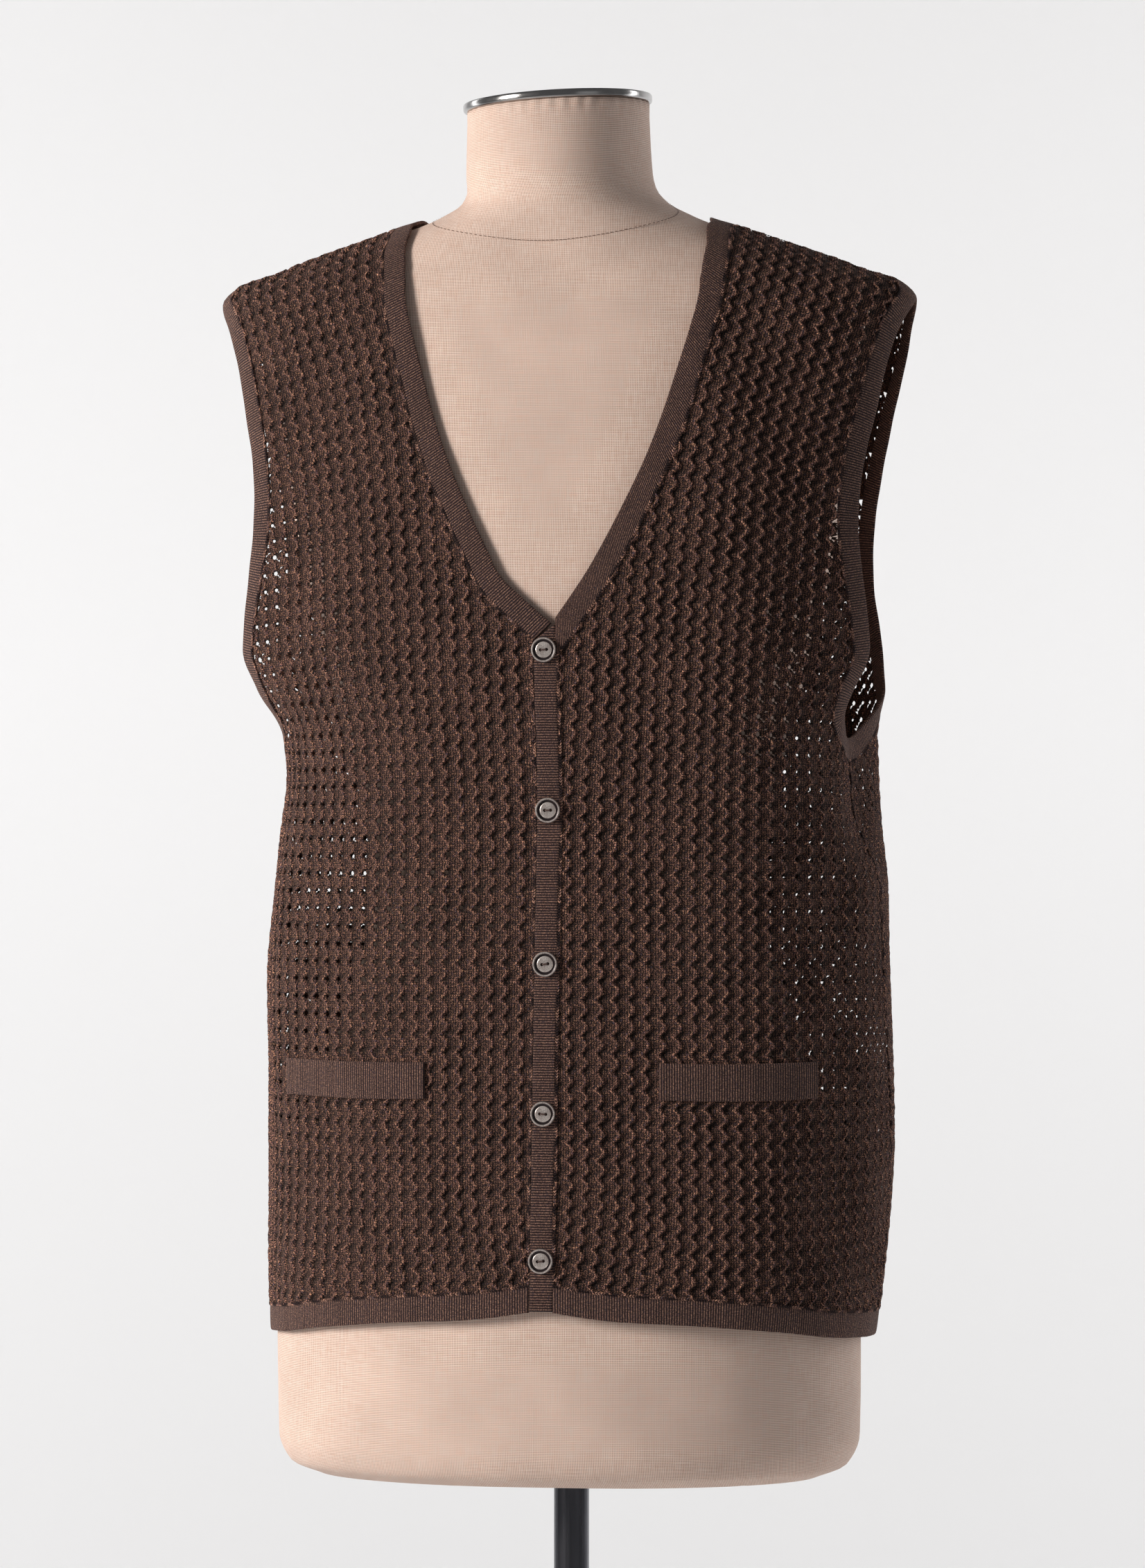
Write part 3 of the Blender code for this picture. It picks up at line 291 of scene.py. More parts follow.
class Envelope:
    """The surface that the cloth's outer face lies on, by angle round the body and height."""

    panel_wall = 1.9 * MM
    form_gap = 1.5 * MM
    blend = 2.0 * MM
    small = 1e-4

    def __init__(self) -> None:
        """Reads the tables of rings."""
        self.form = Table(FORM_RINGS)
        self.cloth = Table(CLOTH_RINGS)
        self.centre = Table(CENTRE_LINE)
        self.lean = Table(NECK_LEAN)

    @staticmethod
    def ring(angle: Array, width: Array, depth: Array, power: Array) -> Array:
        """The radius of a ring between an ellipse and a rounded box.

        Args:
            angle: from centre front, in radians.
            width: half width on that side.
            depth: half depth on that side.
            power: squareness, 2 for an ellipse.

        Returns:
            The radius at each angle.
        """
        across = np.abs(np.sin(angle) / width) ** power
        along = np.abs(np.cos(angle) / depth) ** power
        return (across + along) ** (-1 / power)

    def form_radius(self, angle: Array, z: Array) -> Array:
        """The form's radius there."""
        width, front, back, power = self.form.at(z)
        middle = self.centre.at(z)
        depth = np.where(np.cos(angle) > 0, middle - front, back - middle)
        return self.ring(angle, width, depth, power)

    @staticmethod
    def fold_depth(angle: Array, z: Array) -> Array:
        """How far folds and creases stand out there."""
        total = np.zeros(np.broadcast(angle, z).shape)
        for centre, depth, spread, low, high in FOLDS + CREASES:
            turn = (np.degrees(angle) - centre + 180) % 360 - 180
            reach = smooth_step((z - low) / FOLD_FADE + 0.5) * smooth_step((high - z) / FOLD_FADE + 0.5)
            total = total + depth * np.exp(-((turn / spread) ** 2)) * reach
        return total

    def hanging_radius(self, angle: Array, z: Array) -> Array:
        """The cloth's radius where nothing holds it out."""
        right, left, front, back, power = self.cloth.at(z)
        middle = self.centre.at(z)
        depth = np.where(np.cos(angle) > 0, middle - front, back - middle)
        width = np.where(np.sin(angle) > 0, left, right)
        return self.ring(angle, width, depth, power) + self.fold_depth(angle, z)

    def steepness(self, angle: Array, z: Array) -> Array:
        """How much further out a ring goes for a step of one along the form's normal."""
        e = self.small
        turn = (self.form_radius(angle + e, z) - self.form_radius(angle - e, z)) / (2 * e)
        rise = (self.form_radius(angle, z + e) - self.form_radius(angle, z - e)) / (2 * e)
        return np.sqrt(1 + (turn / self.form_radius(angle, z)) ** 2 + rise**2)

    def cloth_radius(self, angle: Array, z: Array) -> Array:
        """The cloth's outer face: as it hangs, or just clear of the form where it rests."""
        clear = (self.panel_wall + self.form_gap) * np.minimum(self.steepness(angle, z), 6)
        resting = self.form_radius(angle, z) + clear
        hanging = self.hanging_radius(angle, z)
        share = np.clip(0.5 + 0.5 * (hanging - resting) / self.blend, 0, 1)
        return resting * (1 - share) + hanging * share + self.blend * share * (1 - share)

    def place(self, angle: Array, z: Array, on_form: bool = False) -> Array:
        """Points on the cloth's outer face, or on the form.

        Args:
            angle: from centre front, in radians.
            z: the heights.
            on_form: True for the form's surface.

        Returns:
            The points, with x, y and z in the last axis.
        """
        r = self.form_radius(angle, z) if on_form else self.cloth_radius(angle, z)
        z = np.broadcast_to(z, r.shape)
        return np.stack([r * np.sin(angle), self.centre.at(z) - r * np.cos(angle), z], axis=-1)

    def normal(self, angle: Array, z: Array, on_form: bool = False) -> Array:
        """Unit vectors out of the surface at those places."""
        e = self.small
        round_body = self.place(angle + e, z, on_form) - self.place(angle - e, z, on_form)
        upward = self.place(angle, z + e, on_form) - self.place(angle, z - e, on_form)
        outward = np.cross(round_body, upward)
        return outward / np.linalg.norm(outward, axis=-1, keepdims=True)

    def domain(self, points: Array) -> Array:
        """The angle and height of points near the envelope, as rows."""
        middle = self.centre.at(points[:, 2])
        return np.stack([np.arctan2(points[:, 0], middle - points[:, 1]), points[:, 2]], axis=-1)

    def angle_at_x(self, x: Array, z: Array) -> Array:
        """The angle at which the front of the envelope has this x at this height."""
        low, high = np.full(np.shape(z), -1.4), np.full(np.shape(z), 1.4)
        for _ in range(40):
            middle = (low + high) / 2
            below = self.cloth_radius(middle, z) * np.sin(middle) < x
            low, high = np.where(below, middle, low), np.where(below, high, middle)
        return (low + high) / 2

    def on_curve(self, curve: Array) -> tuple[Array, Array]:
        """The points of a curve of angles and heights, and the unit vectors out of the surface there."""
        return self.place(*curve.T), self.normal(*curve.T)

    def lengths(self, curve: Array) -> Array:
        """The length along a curve of angles and heights, at each of its points."""
        points = self.place(*curve.T)
        steps = np.linalg.norm(np.diff(points, axis=0), axis=1)
        return np.concatenate([[0.0], np.cumsum(steps)])

    def resample(self, curve: Array, count: int) -> Array:
        """The curve at count evenly spaced points."""
        run = self.lengths(curve)
        return at_runs(curve, run, np.linspace(0, run[-1], count))

    def step_aside(self, curve: Array, width: float, closed: bool = False) -> Array:
        """The curve moved over the envelope, to the right of its direction seen from outside.

        Args:
            curve: rows of angle and height.
            width: how far to move it, in metres.
            closed: True where its ends meet.

        Returns:
            The moved curve, point for point.
        """
        points, out = self.on_curve(curve)
        ahead = np.gradient(points, axis=0)
        if closed:
            ahead[0] = ahead[-1] = points[1] - points[-2]
        ahead /= np.linalg.norm(ahead, axis=1, keepdims=True)
        moved = self.domain(points + np.cross(ahead, out) * width)
        near = curve[:, 0]
        moved[:, 0] = near + (moved[:, 0] - near + math.pi) % FULL_TURN - math.pi
        return moved


# ---------------- curves, grids and grains of points


def spline(rows: list[tuple[float, float]], closed: bool = False, between: int = 8) -> Array:
    """A smooth curve through rows of angle (degrees) and z, as dense rows of radians and z."""
    points = np.array(rows, float)
    points[:, 0] = np.radians(points[:, 0])
    count = len(points)
    t = (np.arange(between) / between)[:, None]
    found = []
    for i in range(count if closed else count - 1):
        picks = [(i + k) % count if closed else min(max(i + k, 0), count - 1) for k in (-1, 0, 1, 2)]
        a, b, c, d = points[picks]
        found.append(
            0.5 * (2 * b + (c - a) * t + (2 * a - 5 * b + 4 * c - d) * t**2 + (3 * b - a - 3 * c + d) * t**3)
        )
    found.append(points[:1] if closed else points[-1:])
    return np.vstack(found)


def at_runs(curve: Array, run: Array, wanted: Array) -> Array:
    """The rows of a curve at wanted lengths, where run has the length at each of its own rows."""
    return np.stack([np.interp(wanted, run, curve[:, k]) for k in (0, 1)], axis=-1)


def rows_between(first: Array, last: Array, columns: int) -> Array:
    """A grid whose rows run straight from each point of first to the same point of last."""
    share = np.linspace(0, 1, columns)[None, :, None]
    return first[:, None, :] * (1 - share) + last[:, None, :] * share


def cells(rows: int, columns: int, closed: bool = False) -> Array:
    """The four corners of every cell in a grid of points.

    Args:
        rows: how many rows of points there are.
        columns: how many points a row has.
        closed: True where each row's last point joins its first.

    Returns:
        Rows of point numbers.
    """
    r, c = np.meshgrid(np.arange(rows - 1), np.arange(columns if closed else columns - 1), indexing="ij")
    a, b = (r * columns + c).ravel(), (r * columns + (c + 1) % columns).ravel()
    return np.stack([a, b, b + columns, a + columns], axis=-1)


def scattered(at: Array, axes: tuple[Array, ...], grain: Array) -> Array:
    """A small grain of points set at many places.

    Args:
        at: the places.
        axes: three unit vectors for each place, along which the grain's x, y and z are laid.
        grain: the grain's points.

    Returns:
        All the points, place by place.
    """
    made = at[:, None] + sum(axis[:, None] * grain[None, :, k : k + 1] for k, axis in enumerate(axes))
    return made.reshape(-1, 3)


def number_each(places: Array, grain: Array) -> Array:
    """The first point number of each place's grain, shaped to be added to the grain's faces."""
    return np.arange(len(places))[:, None, None] * len(grain)


def ring_points(radii: Array, heights: Array, sides: int) -> Array:
    """The points of a turned shape, ring by ring, from the radius and the height of each ring."""
    turn = np.arange(sides) / sides * FULL_TURN
    across, along = (radii[:, None] * wave for wave in (np.cos(turn), np.sin(turn)))
    return np.stack([across.ravel(), along.ravel(), np.repeat(heights, sides)], axis=-1)


def capped(faces: Array, rows: int, columns: int, flipped: bool = False) -> list[tuple[int, ...]]:
    """The faces of a tube with its two ends closed, each by one face."""
    first, last = tuple(range(columns)), tuple(range((rows - 1) * columns, rows * columns))
    ends = [first[::-1], last] if flipped else [first, last[::-1]]
    return faces.tolist() + ends


# ---------------- the garment's cut on the envelope


@dataclass
class Cut:
    """Where each piece of the garment begins and ends on the envelope."""

    cloth: Envelope
    seam_gap: float = 0.3 * MM
    neck_band_width: float = 14.5 * MM
    arm_band_width: float = 14.0 * MM
    hem_band_width: float = 16.0 * MM
    placket_half_width: float = 6.8 * MM
    placket_top_right_z: float = 1.1625
    left_corner_z: float = 1.1540
    side_seam_right: float = 90.0
    side_seam_left: float = 84.0
    seam_ease: float = math.radians(5.0)
    # The placket's edge at the hem, in radians from centre front.
    placket_angle: float = 0.03
    # How far above and beside the placket's corner, in metres and radians, the neck seam follows its edge.
    corner_rise: float = 4 * MM
    corner_turn: float = 0.03
    arm_rows: int = 92
    lower_rows: int = 90
    columns: int = 52
    back_shoulder_columns: int = 20
    half_back_neck_columns: int = 26

    def __post_init__(self) -> None:
        """Reads the tables of the hem and the placket."""
        self.hem = Table(HEM_LINE)
        self.placket = Table(PLACKET_LINE)

    def twist(self, z: Array, side: int) -> Array:
        """How far the left side seam lies forward of the right one, in radians."""
        if side < 0:
            return np.zeros_like(z)
        return math.radians(90.0 - self.side_seam_left) * smooth_step((1.155 - z) / 0.045)

    def neck_edge(self, side: int) -> Array:
        """The neck's free edge from the V point to centre back."""
        return spline([V_POINT] + [(side * angle, z) for angle, z in NECK_EDGE])

    def arm_edge(self, side: int) -> Array:
        """An armhole's free edge, up the front and down the back."""
        curve = spline(list(ARM_EDGE), closed=True)
        curve[:, 0] -= self.twist(curve[:, 1], side)
        curve[:, 0] *= side
        return curve

    def paired(self, free: Array, seam: Array, count: int) -> list[Array]:
        """A free edge and its seam at the same evenly spaced stations along the seam."""
        run = self.cloth.lengths(seam)
        wanted = np.linspace(0, run[-1], count)
        return [at_runs(line, run, wanted) for line in (free, seam)]

    def arm_stations(self, side: int) -> tuple[list[Array], list[Array]]:
        """The armhole's free edge and seam: the front half, then the back half, each up from the underarm."""
        free = self.arm_edge(side)
        seam = self.cloth.step_aside(free, -self.arm_band_width * side, closed=True)
        peak = int(np.argmax(seam[:, 1]))
        count = self.arm_rows + 1
        front = self.paired(free[: peak + 1], seam[: peak + 1], count)
        back = self.paired(free[peak:][::-1], seam[peak:][::-1], count)
        return front, back

    def corner_z(self, side: int) -> float:
        """The height of the corner where the placket meets the neck band."""
        return self.placket_top_right_z if side < 0 else self.left_corner_z

    def corner_row(self, side: int) -> int:
        """The armhole station that lies level with that corner."""
        front, _ = self.arm_stations(side)
        return int(np.argmax(front[1][:, 1] > self.corner_z(side)))

    def placket_edge(self, z: Array, side: int, spread: float = 0.0) -> Array:
        """The placket's edge on one side at these heights, moved out by a spread."""
        x = self.placket.at(z) + side * (self.placket_half_width + spread)
        return np.stack([self.cloth.angle_at_x(x, z), z], axis=-1)

    @staticmethod
    def split_at_ridge(curve: Array) -> tuple[Array, Array]:
        """A curve's part before the shoulder ridge and its part after it."""
        ridge = math.radians(90.0)
        turned_by = np.abs(curve[:, 0])
        after = int(np.argmax(turned_by > ridge))
        share = (ridge - turned_by[after - 1]) / (turned_by[after] - turned_by[after - 1])
        crossing = curve[after - 1] + share * (curve[after] - curve[after - 1])
        return np.vstack([curve[:after], crossing]), np.vstack([crossing, curve[after:]])

    def cut_below_x(self, curve: Array, x: float, side: int) -> Array:
        """Drops the start of a curve that lies nearer the middle than x, and starts it on x."""
        xs = self.cloth.place(*curve.T)[:, 0] * side
        first = int(np.argmax(xs > x * side))
        if first == 0:
            return curve
        share = (x * side - xs[first - 1]) / (xs[first] - xs[first - 1])
        start = curve[first - 1] + share * (curve[first] - curve[first - 1])
        return np.vstack([start, curve[first:]])

    def neck_stations(self, side: int) -> tuple[tuple[Array, Array], tuple[Array, Array]]:
        """The neck's free edge and seam in front of the shoulder ridge, then the same behind it."""
        free = self.neck_edge(side)
        seam = self.cloth.step_aside(free, self.neck_band_width * side)
        if side < 0:
            foot = self.placket_edge(np.array([self.placket_top_right_z]), side)
        else:
            cut = float(self.placket.at(V_POINT[1])) + self.placket_half_width + self.seam_gap
            free = self.cut_below_x(free, cut, side)
            foot = self.placket_edge(np.array([self.left_corner_z + self.seam_gap]), side, self.seam_gap)
        above = seam[:, 1] > foot[0, 1] + self.corner_rise
        clear = above & (side * seam[:, 0] > side * foot[0, 0] + self.corner_turn)
        seam = np.vstack([foot, seam[clear]])
        free_front, free_back = self.split_at_ridge(free)
        seam_front, seam_back = self.split_at_ridge(seam)
        rows = self.arm_rows - self.corner_row(side) + 1
        resample = self.cloth.resample
        front = resample(free_front, rows), resample(seam_front, rows)
        columns = self.half_back_neck_columns + 1
        return front, (resample(free_back, columns), resample(seam_back, columns))

    def side_seam(self, side: int, z: Array) -> Array:
        """The side seam at these heights."""
        angle = np.full(np.shape(z), side * self.side_angle(side))
        if side > 0:
            angle += self.seam_ease * smooth_step((1.05 - z) / 0.30)
        return np.stack([angle, z], axis=-1)

    def side_angle(self, side: int) -> float:
        """How far a side seam's top lies from centre front."""
        return math.radians(self.side_seam_right if side < 0 else self.side_seam_left)

    @staticmethod
    def ridge(side: int) -> float:
        """The angle of the shoulder ridge on one side."""
        return side * math.radians(90.0)

    def hem_z(self, angle: Array) -> Array:
        """The height of the garment's lower edge."""
        return self.hem.at(np.abs(np.degrees((angle + math.pi) % FULL_TURN - math.pi)))

    def hem_seam_z(self, angle: Array) -> Array:
        """The height of the seam over the hem band."""
        return self.hem_z(angle) + self.hem_band_width

    def front_grid(self, side: int) -> Array:
        """A front from the hem seam to the shoulder seam and from the placket to the side."""
        front, _ = self.arm_stations(side)
        arm = front[1].copy()
        arm[0, 0] = self.side_seam(side, arm[:1, 1])[0, 0]
        arm[-1, 0] = self.ridge(side)
        underarm_z = arm[0, 1]
        inner_z, outer_z = (
            np.linspace(self.hem_seam_z(np.array(angle)), underarm_z, self.lower_rows + 1)
            for angle in (self.placket_angle, self.side_angle(side))
        )
        lower = rows_between(self.placket_edge(inner_z, side), self.side_seam(side, outer_z), self.columns)
        fade = (1 - np.linspace(0, 1, self.lower_rows + 1)[:, None]) ** 2
        lower[..., 1] += fade * (self.hem_seam_z(lower[0, :, 0]) - lower[0, :, 1])[None, :]

        split = self.corner_row(side)
        beside = self.placket_edge(np.linspace(underarm_z, self.corner_z(side), split + 1), side)
        neck = self.neck_stations(side)[0][1].copy()
        neck[0] = beside[-1]
        neck[-1, 0] = self.ridge(side)
        middle = rows_between(beside, arm[: split + 1], self.columns)
        upper = rows_between(neck, arm[split:], self.columns)
        return np.concatenate([lower, middle[1:], upper[1:]])

    def back_grid(self) -> Array:
        """The back from the hem seam to the shoulder seams and back neck, from left side to right side."""
        edges = {}
        for side in (1, -1):
            edges[side] = self.arm_stations(side)[1][1].copy()
            edges[side][0, 0] = self.side_seam(side, edges[side][:1, 1])[0, 0]
            edges[side][-1, 0] = self.ridge(side)
            edges[side][:, 0] %= FULL_TURN
        left, right = edges[1], edges[-1]
        halves = {}
        for side in (1, -1):
            seam = self.neck_stations(side)[1][1].copy()
            seam[0, 0] = self.ridge(side)
            halves[side] = np.stack([seam[:, 0] % FULL_TURN, seam[:, 1]], axis=-1)
            halves[side][-1, 0] = math.pi
        shares = np.linspace(0, 1, self.back_shoulder_columns + 1)[:-1, None]
        left_shoulder = left[-1] * (1 - shares) + halves[1][0] * shares
        right_shoulder = right[-1] * (1 - shares) + halves[-1][0] * shares
        top = np.vstack([left_shoulder, halves[1], halves[-1][::-1][1:], right_shoulder[::-1]])
        run = self.cloth.lengths(top)
        across = (run / run[-1] + np.linspace(0, 1, len(top))) / 2
        u, v = across[None, :, None], np.linspace(0, 1, self.arm_rows + 1)[:, None, None]
        bottom = left[0] * (1 - u[0]) + right[0] * u[0]
        corners = (1 - v) * bottom[None] + v * (left[-1] * (1 - u) + right[-1] * u)
        ruled_up = (1 - v) * bottom[None] + v * top[None]
        upper = ruled_up + (1 - u) * left[:, None] + u * right[:, None] - corners
        lower = np.empty((self.lower_rows, len(top), 2))
        for row in range(self.lower_rows):
            share = row / self.lower_rows
            ends = []
            for side, edge in ((1, left), (-1, right)):
                z = self.hem_seam_z(np.array(self.side_angle(side))) * (1 - share) + edge[0, 1] * share
                ends.append(self.side_seam(side, np.array([z]))[0])
            ends[1] = ends[1] + (FULL_TURN, 0)
            lower[row] = ends[0] * (1 - u[0]) + ends[1] * u[0]
            if row == 0:
                level = self.hem_seam_z(lower[0, :, 0]) - lower[0, :, 1]
            lower[row, :, 1] += (1 - share) ** 2 * level
        return np.concatenate([lower, upper])


# ---------------- laying a panel flat


class FlatPanel:
    """A panel laid flat: across is along its courses and along is up its wales, both in metres."""

    # The angle and height that a point which isn't found is given.
    nowhere = (0.0, 1.0)

    def __init__(self, cloth: Envelope, grid: Array, grain: int) -> None:
        """Lays the panel flat and readies the way back to the envelope.

        Args:
            cloth: the envelope.
            grid: rows and columns of angle and height.
            grain: the column that is the panel's straight grain line.
        """
        self.cloth = cloth
        self.grid = grid
        self.quads = cells(*grid.shape[:2])
        self.triangles = np.concatenate([self.quads[:, [0, 1, 2]], self.quads[:, [0, 2, 3]]])
        self.points = self._squared(self._unwrapped(), grain)
        self.tree = BVHTree.FromPolygons([(x, y, 0.0) for x, y in self.points], self.triangles.tolist())

    def _unwrapped(self) -> Array:
        """The panel unwrapped with as little stretch as can be, in the unwrap's own units."""
        solid = self.cloth.place(self.grid[..., 0], self.grid[..., 1]).reshape(-1, 3)
        worn = mesh_from("worn", solid, self.quads)
        worn.data.uv_layers.new(name="flat")
        bpy.context.view_layer.objects.active = worn
        worn.select_set(True)
        bpy.ops.object.mode_set(mode="EDIT")
        bpy.ops.mesh.select_all(action="SELECT")
        bpy.ops.uv.unwrap(method="MINIMUM_STRETCH", correct_aspect=False, margin=0.0)
        bpy.ops.object.mode_set(mode="OBJECT")
        corners = np.empty(len(worn.data.loops), np.int32)
        worn.data.loops.foreach_get("vertex_index", corners)
        uvs = np.empty(2 * len(corners), np.float32)
        worn.data.uv_layers["flat"].data.foreach_get("uv", uvs)
        flat = np.empty((len(solid), 2))
        flat[corners] = uvs.reshape(-1, 2)
        bpy.data.objects.remove(worn, do_unlink=True)
        return flat

    def _squared(self, flat: Array, grain: int) -> Array:
        """The unwrapped panel at its real size, with its grain line upright where it hangs."""
        solid = self.cloth.place(self.grid[..., 0], self.grid[..., 1])
        a, b, c = (solid.reshape(-1, 3)[self.triangles[:, k]] for k in range(3))
        whole = np.linalg.norm(np.cross(b - a, c - a), axis=1).sum() / 2
        self.points = flat
        flat = flat * math.sqrt(whole / self.area)
        rows, columns = self.grid.shape[:2]
        shaped = flat.reshape(rows, columns, 2)
        lower = slice(0, rows // 3)
        spots = shaped[lower].reshape(-1, 2)
        apart = spots - spots.mean(axis=0)
        heights = solid[lower, :, 2].ravel()
        up = np.linalg.lstsq(apart, heights - heights.mean(), rcond=None)[0]
        up /= np.linalg.norm(up)
        right = np.array([up[1], -up[0]])
        onward = np.sign(self.grid[0, -1, 0] - self.grid[0, 0, 0])
        if np.dot(shaped[0, -1] - shaped[0, 0], right) * onward < 0:
            right = -right
        squared = (flat - shaped[0, grain]) @ np.stack([right, up], axis=-1)
        return squared + (solid[0, grain, 0], solid[0, grain, 2])

    @property
    def area(self) -> float:
        """The panel's flat area in square metres."""
        a, b, c = (self.points[self.triangles[:, k]] for k in range(3))
        u, v = b - a, c - a
        return float(np.abs(u[:, 0] * v[:, 1] - u[:, 1] * v[:, 0]).sum() / 2)

    @property
    def size(self) -> tuple[float, float]:
        """The width and length of the flat panel."""
        low, high = self.points.min(axis=0), self.points.max(axis=0)
        return float(high[0] - low[0]), float(high[1] - low[1])

    def find(self, wanted: Array, reach: float) -> tuple[Array, Array]:
        """Where flat points lie on the envelope.

        Args:
            wanted: rows of across and along.
            reach: how far outside the panel's edge a point may be; it is then moved onto the edge.

        Returns:
            Rows of angle and height, which stay inside the tables, and whether each point was found.
        """
        # A face number of -1 marks a point that isn't found.
        faces = np.full(len(wanted), -1)
        spots = wanted.copy()
        down = Vector((0, 0, -1))
        for k, (x, y) in enumerate(wanted):
            spot, _, face, _ = self.tree.ray_cast(Vector((x, y, 1.0)), down)
            if spot is None:
                spot, _, face, _ = self.tree.find_nearest(Vector((x, y, 0.0)), reach)
            if spot is not None:
                faces[k] = face
                spots[k] = spot[0], spot[1]
        found = faces >= 0
        corners = self.triangles[faces]
        a, b, c = (self.points[corners[:, k]] for k in range(3))
        u, v, w = b - a, c - a, spots - a
        whole = u[:, 0] * v[:, 1] - u[:, 1] * v[:, 0]
        beta = (w[:, 0] * v[:, 1] - w[:, 1] * v[:, 0]) / whole
        gamma = (u[:, 0] * w[:, 1] - u[:, 1] * w[:, 0]) / whole
        weights = np.stack([1 - beta - gamma, beta, gamma], axis=-1)
        domain = self.grid.reshape(-1, 2)
        placed = (domain[corners] * weights[..., None]).sum(axis=1)
        return np.where(found[:, None], placed, self.nowhere), found


# ---------------- meshes


def mesh_from(name: str, points: Array, faces: Array | list, uvs: Array | None = None) -> Piece:
    """A smooth-shaded object from arrays.

    Args:
        name: the piece's name.
        points: rows of x, y, z.
        faces: rows of corner indices, all of one length, or a list of faces of any lengths.
        uvs: one pair for each point, in metres on the cloth, if the finish needs them.

    Returns:
        The object, linked to the scene.
    """
    mesh = bpy.data.meshes.new(name)
    faces = faces.tolist() if isinstance(faces, Array) else faces
    mesh.from_pydata(points.tolist(), [], faces)
    if uvs is not None:
        corners = np.empty(len(mesh.loops), np.int32)
        mesh.loops.foreach_get("vertex_index", corners)
        layer = mesh.uv_layers.new(name="fabric")
        layer.data.foreach_set("uv", np.ascontiguousarray(uvs[corners] / MM / UV_MM, np.float32).ravel())
    mesh.polygons.foreach_set("use_smooth", np.ones(len(mesh.polygons), bool))
    mesh.update()
    piece = bpy.data.objects.new(name, mesh)
    bpy.context.scene.collection.objects.link(piece)
    return piece


def settle(piece: Piece, finish: Material, slot: Slot, *replaced: str) -> None:
    """Gives a piece its finish, its body and the CAD nodes that it stands for."""
    piece.data.materials.clear()
    piece.data.materials.append(finish)
    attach(piece, BODY)
    if replaced:
        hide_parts(*replaced)


# ---------------- finishes


def linear(colour: str) -> tuple[float, float, float, float]:
    """An sRGB hex colour, such as "#5a4038", as linear values with full opacity."""
    parts = [int(colour[k : k + 2], 16) / 255 for k in (1, 3, 5)]
    return (*[p / 12.92 if p <= 0.04045 else ((p + 0.055) / 1.055) ** 2.4 for p in parts], 1.0)


def feed(tree: Tree, node: Node, inputs: dict) -> None:
    """Gives a node its inputs, by name or number: values, sockets or nodes, whose first output is used."""
    for key, value in inputs.items():
        if isinstance(value, Node):
            value = value.outputs[0]
        if isinstance(value, Socket):
            tree.links.new(value, node.inputs[key])
        else:
            node.inputs[key].default_value = value


def add(tree: Tree, kind: str, settings: dict | None = None, inputs: dict | None = None) -> Node:
    """Adds a node to a tree.

    Args:
        tree: the node tree.
        kind: the node's Blender type, without "ShaderNode".
        settings: its properties by name.
        inputs: what feed gives it.

    Returns:
        The node.
    """
    node = tree.nodes.new("ShaderNode" + kind)
    for name, value in (settings or {}).items():
        setattr(node, name, value)
    feed(tree, node, inputs or {})
    return node


def begun(name: str) -> tuple[Material, Tree, Node]:
    """A new material, its node tree and its principled shader."""
    made = bpy.data.materials.new(name)
    made.use_nodes = True
    return made, made.node_tree, made.node_tree.nodes["Principled BSDF"]


def calc(tree: Tree, operation: str, *values: object) -> Node:
    """Adds a sum in one step: an operation on its values, in order."""
    return add(tree, "Math", {"operation": operation}, dict(enumerate(values)))


def remap(tree: Tree, *values: object, kind: str = "LINEAR") -> Node:
    """Adds a change of range: the value, from low, from high and, if not 0 and 1, to low and to high."""
    return add(tree, "MapRange", {"interpolation_type": kind}, dict(enumerate(values)))


def noise(tree: Tree, at: object, scale: float, detail: float, rough: float = 0.5) -> Node:
    """Adds fractal noise over the places that it is given."""
    return add(tree, "TexNoise", inputs={"Vector": at, "Scale": scale, "Detail": detail, "Roughness": rough})


def mixed(tree: Tree, share: object, first: object, second: object) -> Socket:
    """The colour between two, each a hex colour or a socket, at a share of the way to the second."""
    colours = (linear(colour) if isinstance(colour, str) else colour for colour in (first, second))
    return add(tree, "Mix", {"data_type": "RGBA"}, {0: share, **dict(zip((6, 7), colours))}).outputs[2]


def scaled(tree: Tree, vector: object, by: object) -> Node:
    """Adds a vector or colour times a number."""
    return add(tree, "VectorMath", {"operation": "SCALE"}, {0: vector, "Scale": by})


def bumped(tree: Tree, strength: float, depth: float, height: Node) -> Node:
    """Adds a bump of a height, whose depth is in mm."""
    return add(tree, "Bump", inputs={"Strength": strength, "Distance": depth * MM, "Height": height})


def ramped(tree: Tree, value: object, places: Array, tones: tuple[str, ...]) -> Node:
    """Adds a colour ramp with a tone at each place."""
    ramp = add(tree, "ValToRGB", inputs={0: value})
    elements = ramp.color_ramp.elements
    elements[0].position, elements[0].color = places[0], linear(tones[0])
    elements[1].position, elements[1].color = places[-1], linear(tones[-1])
    for place, tone in zip(places[1:-1], tones[1:-1]):
        elements.new(place).color = linear(tone)
    return ramp


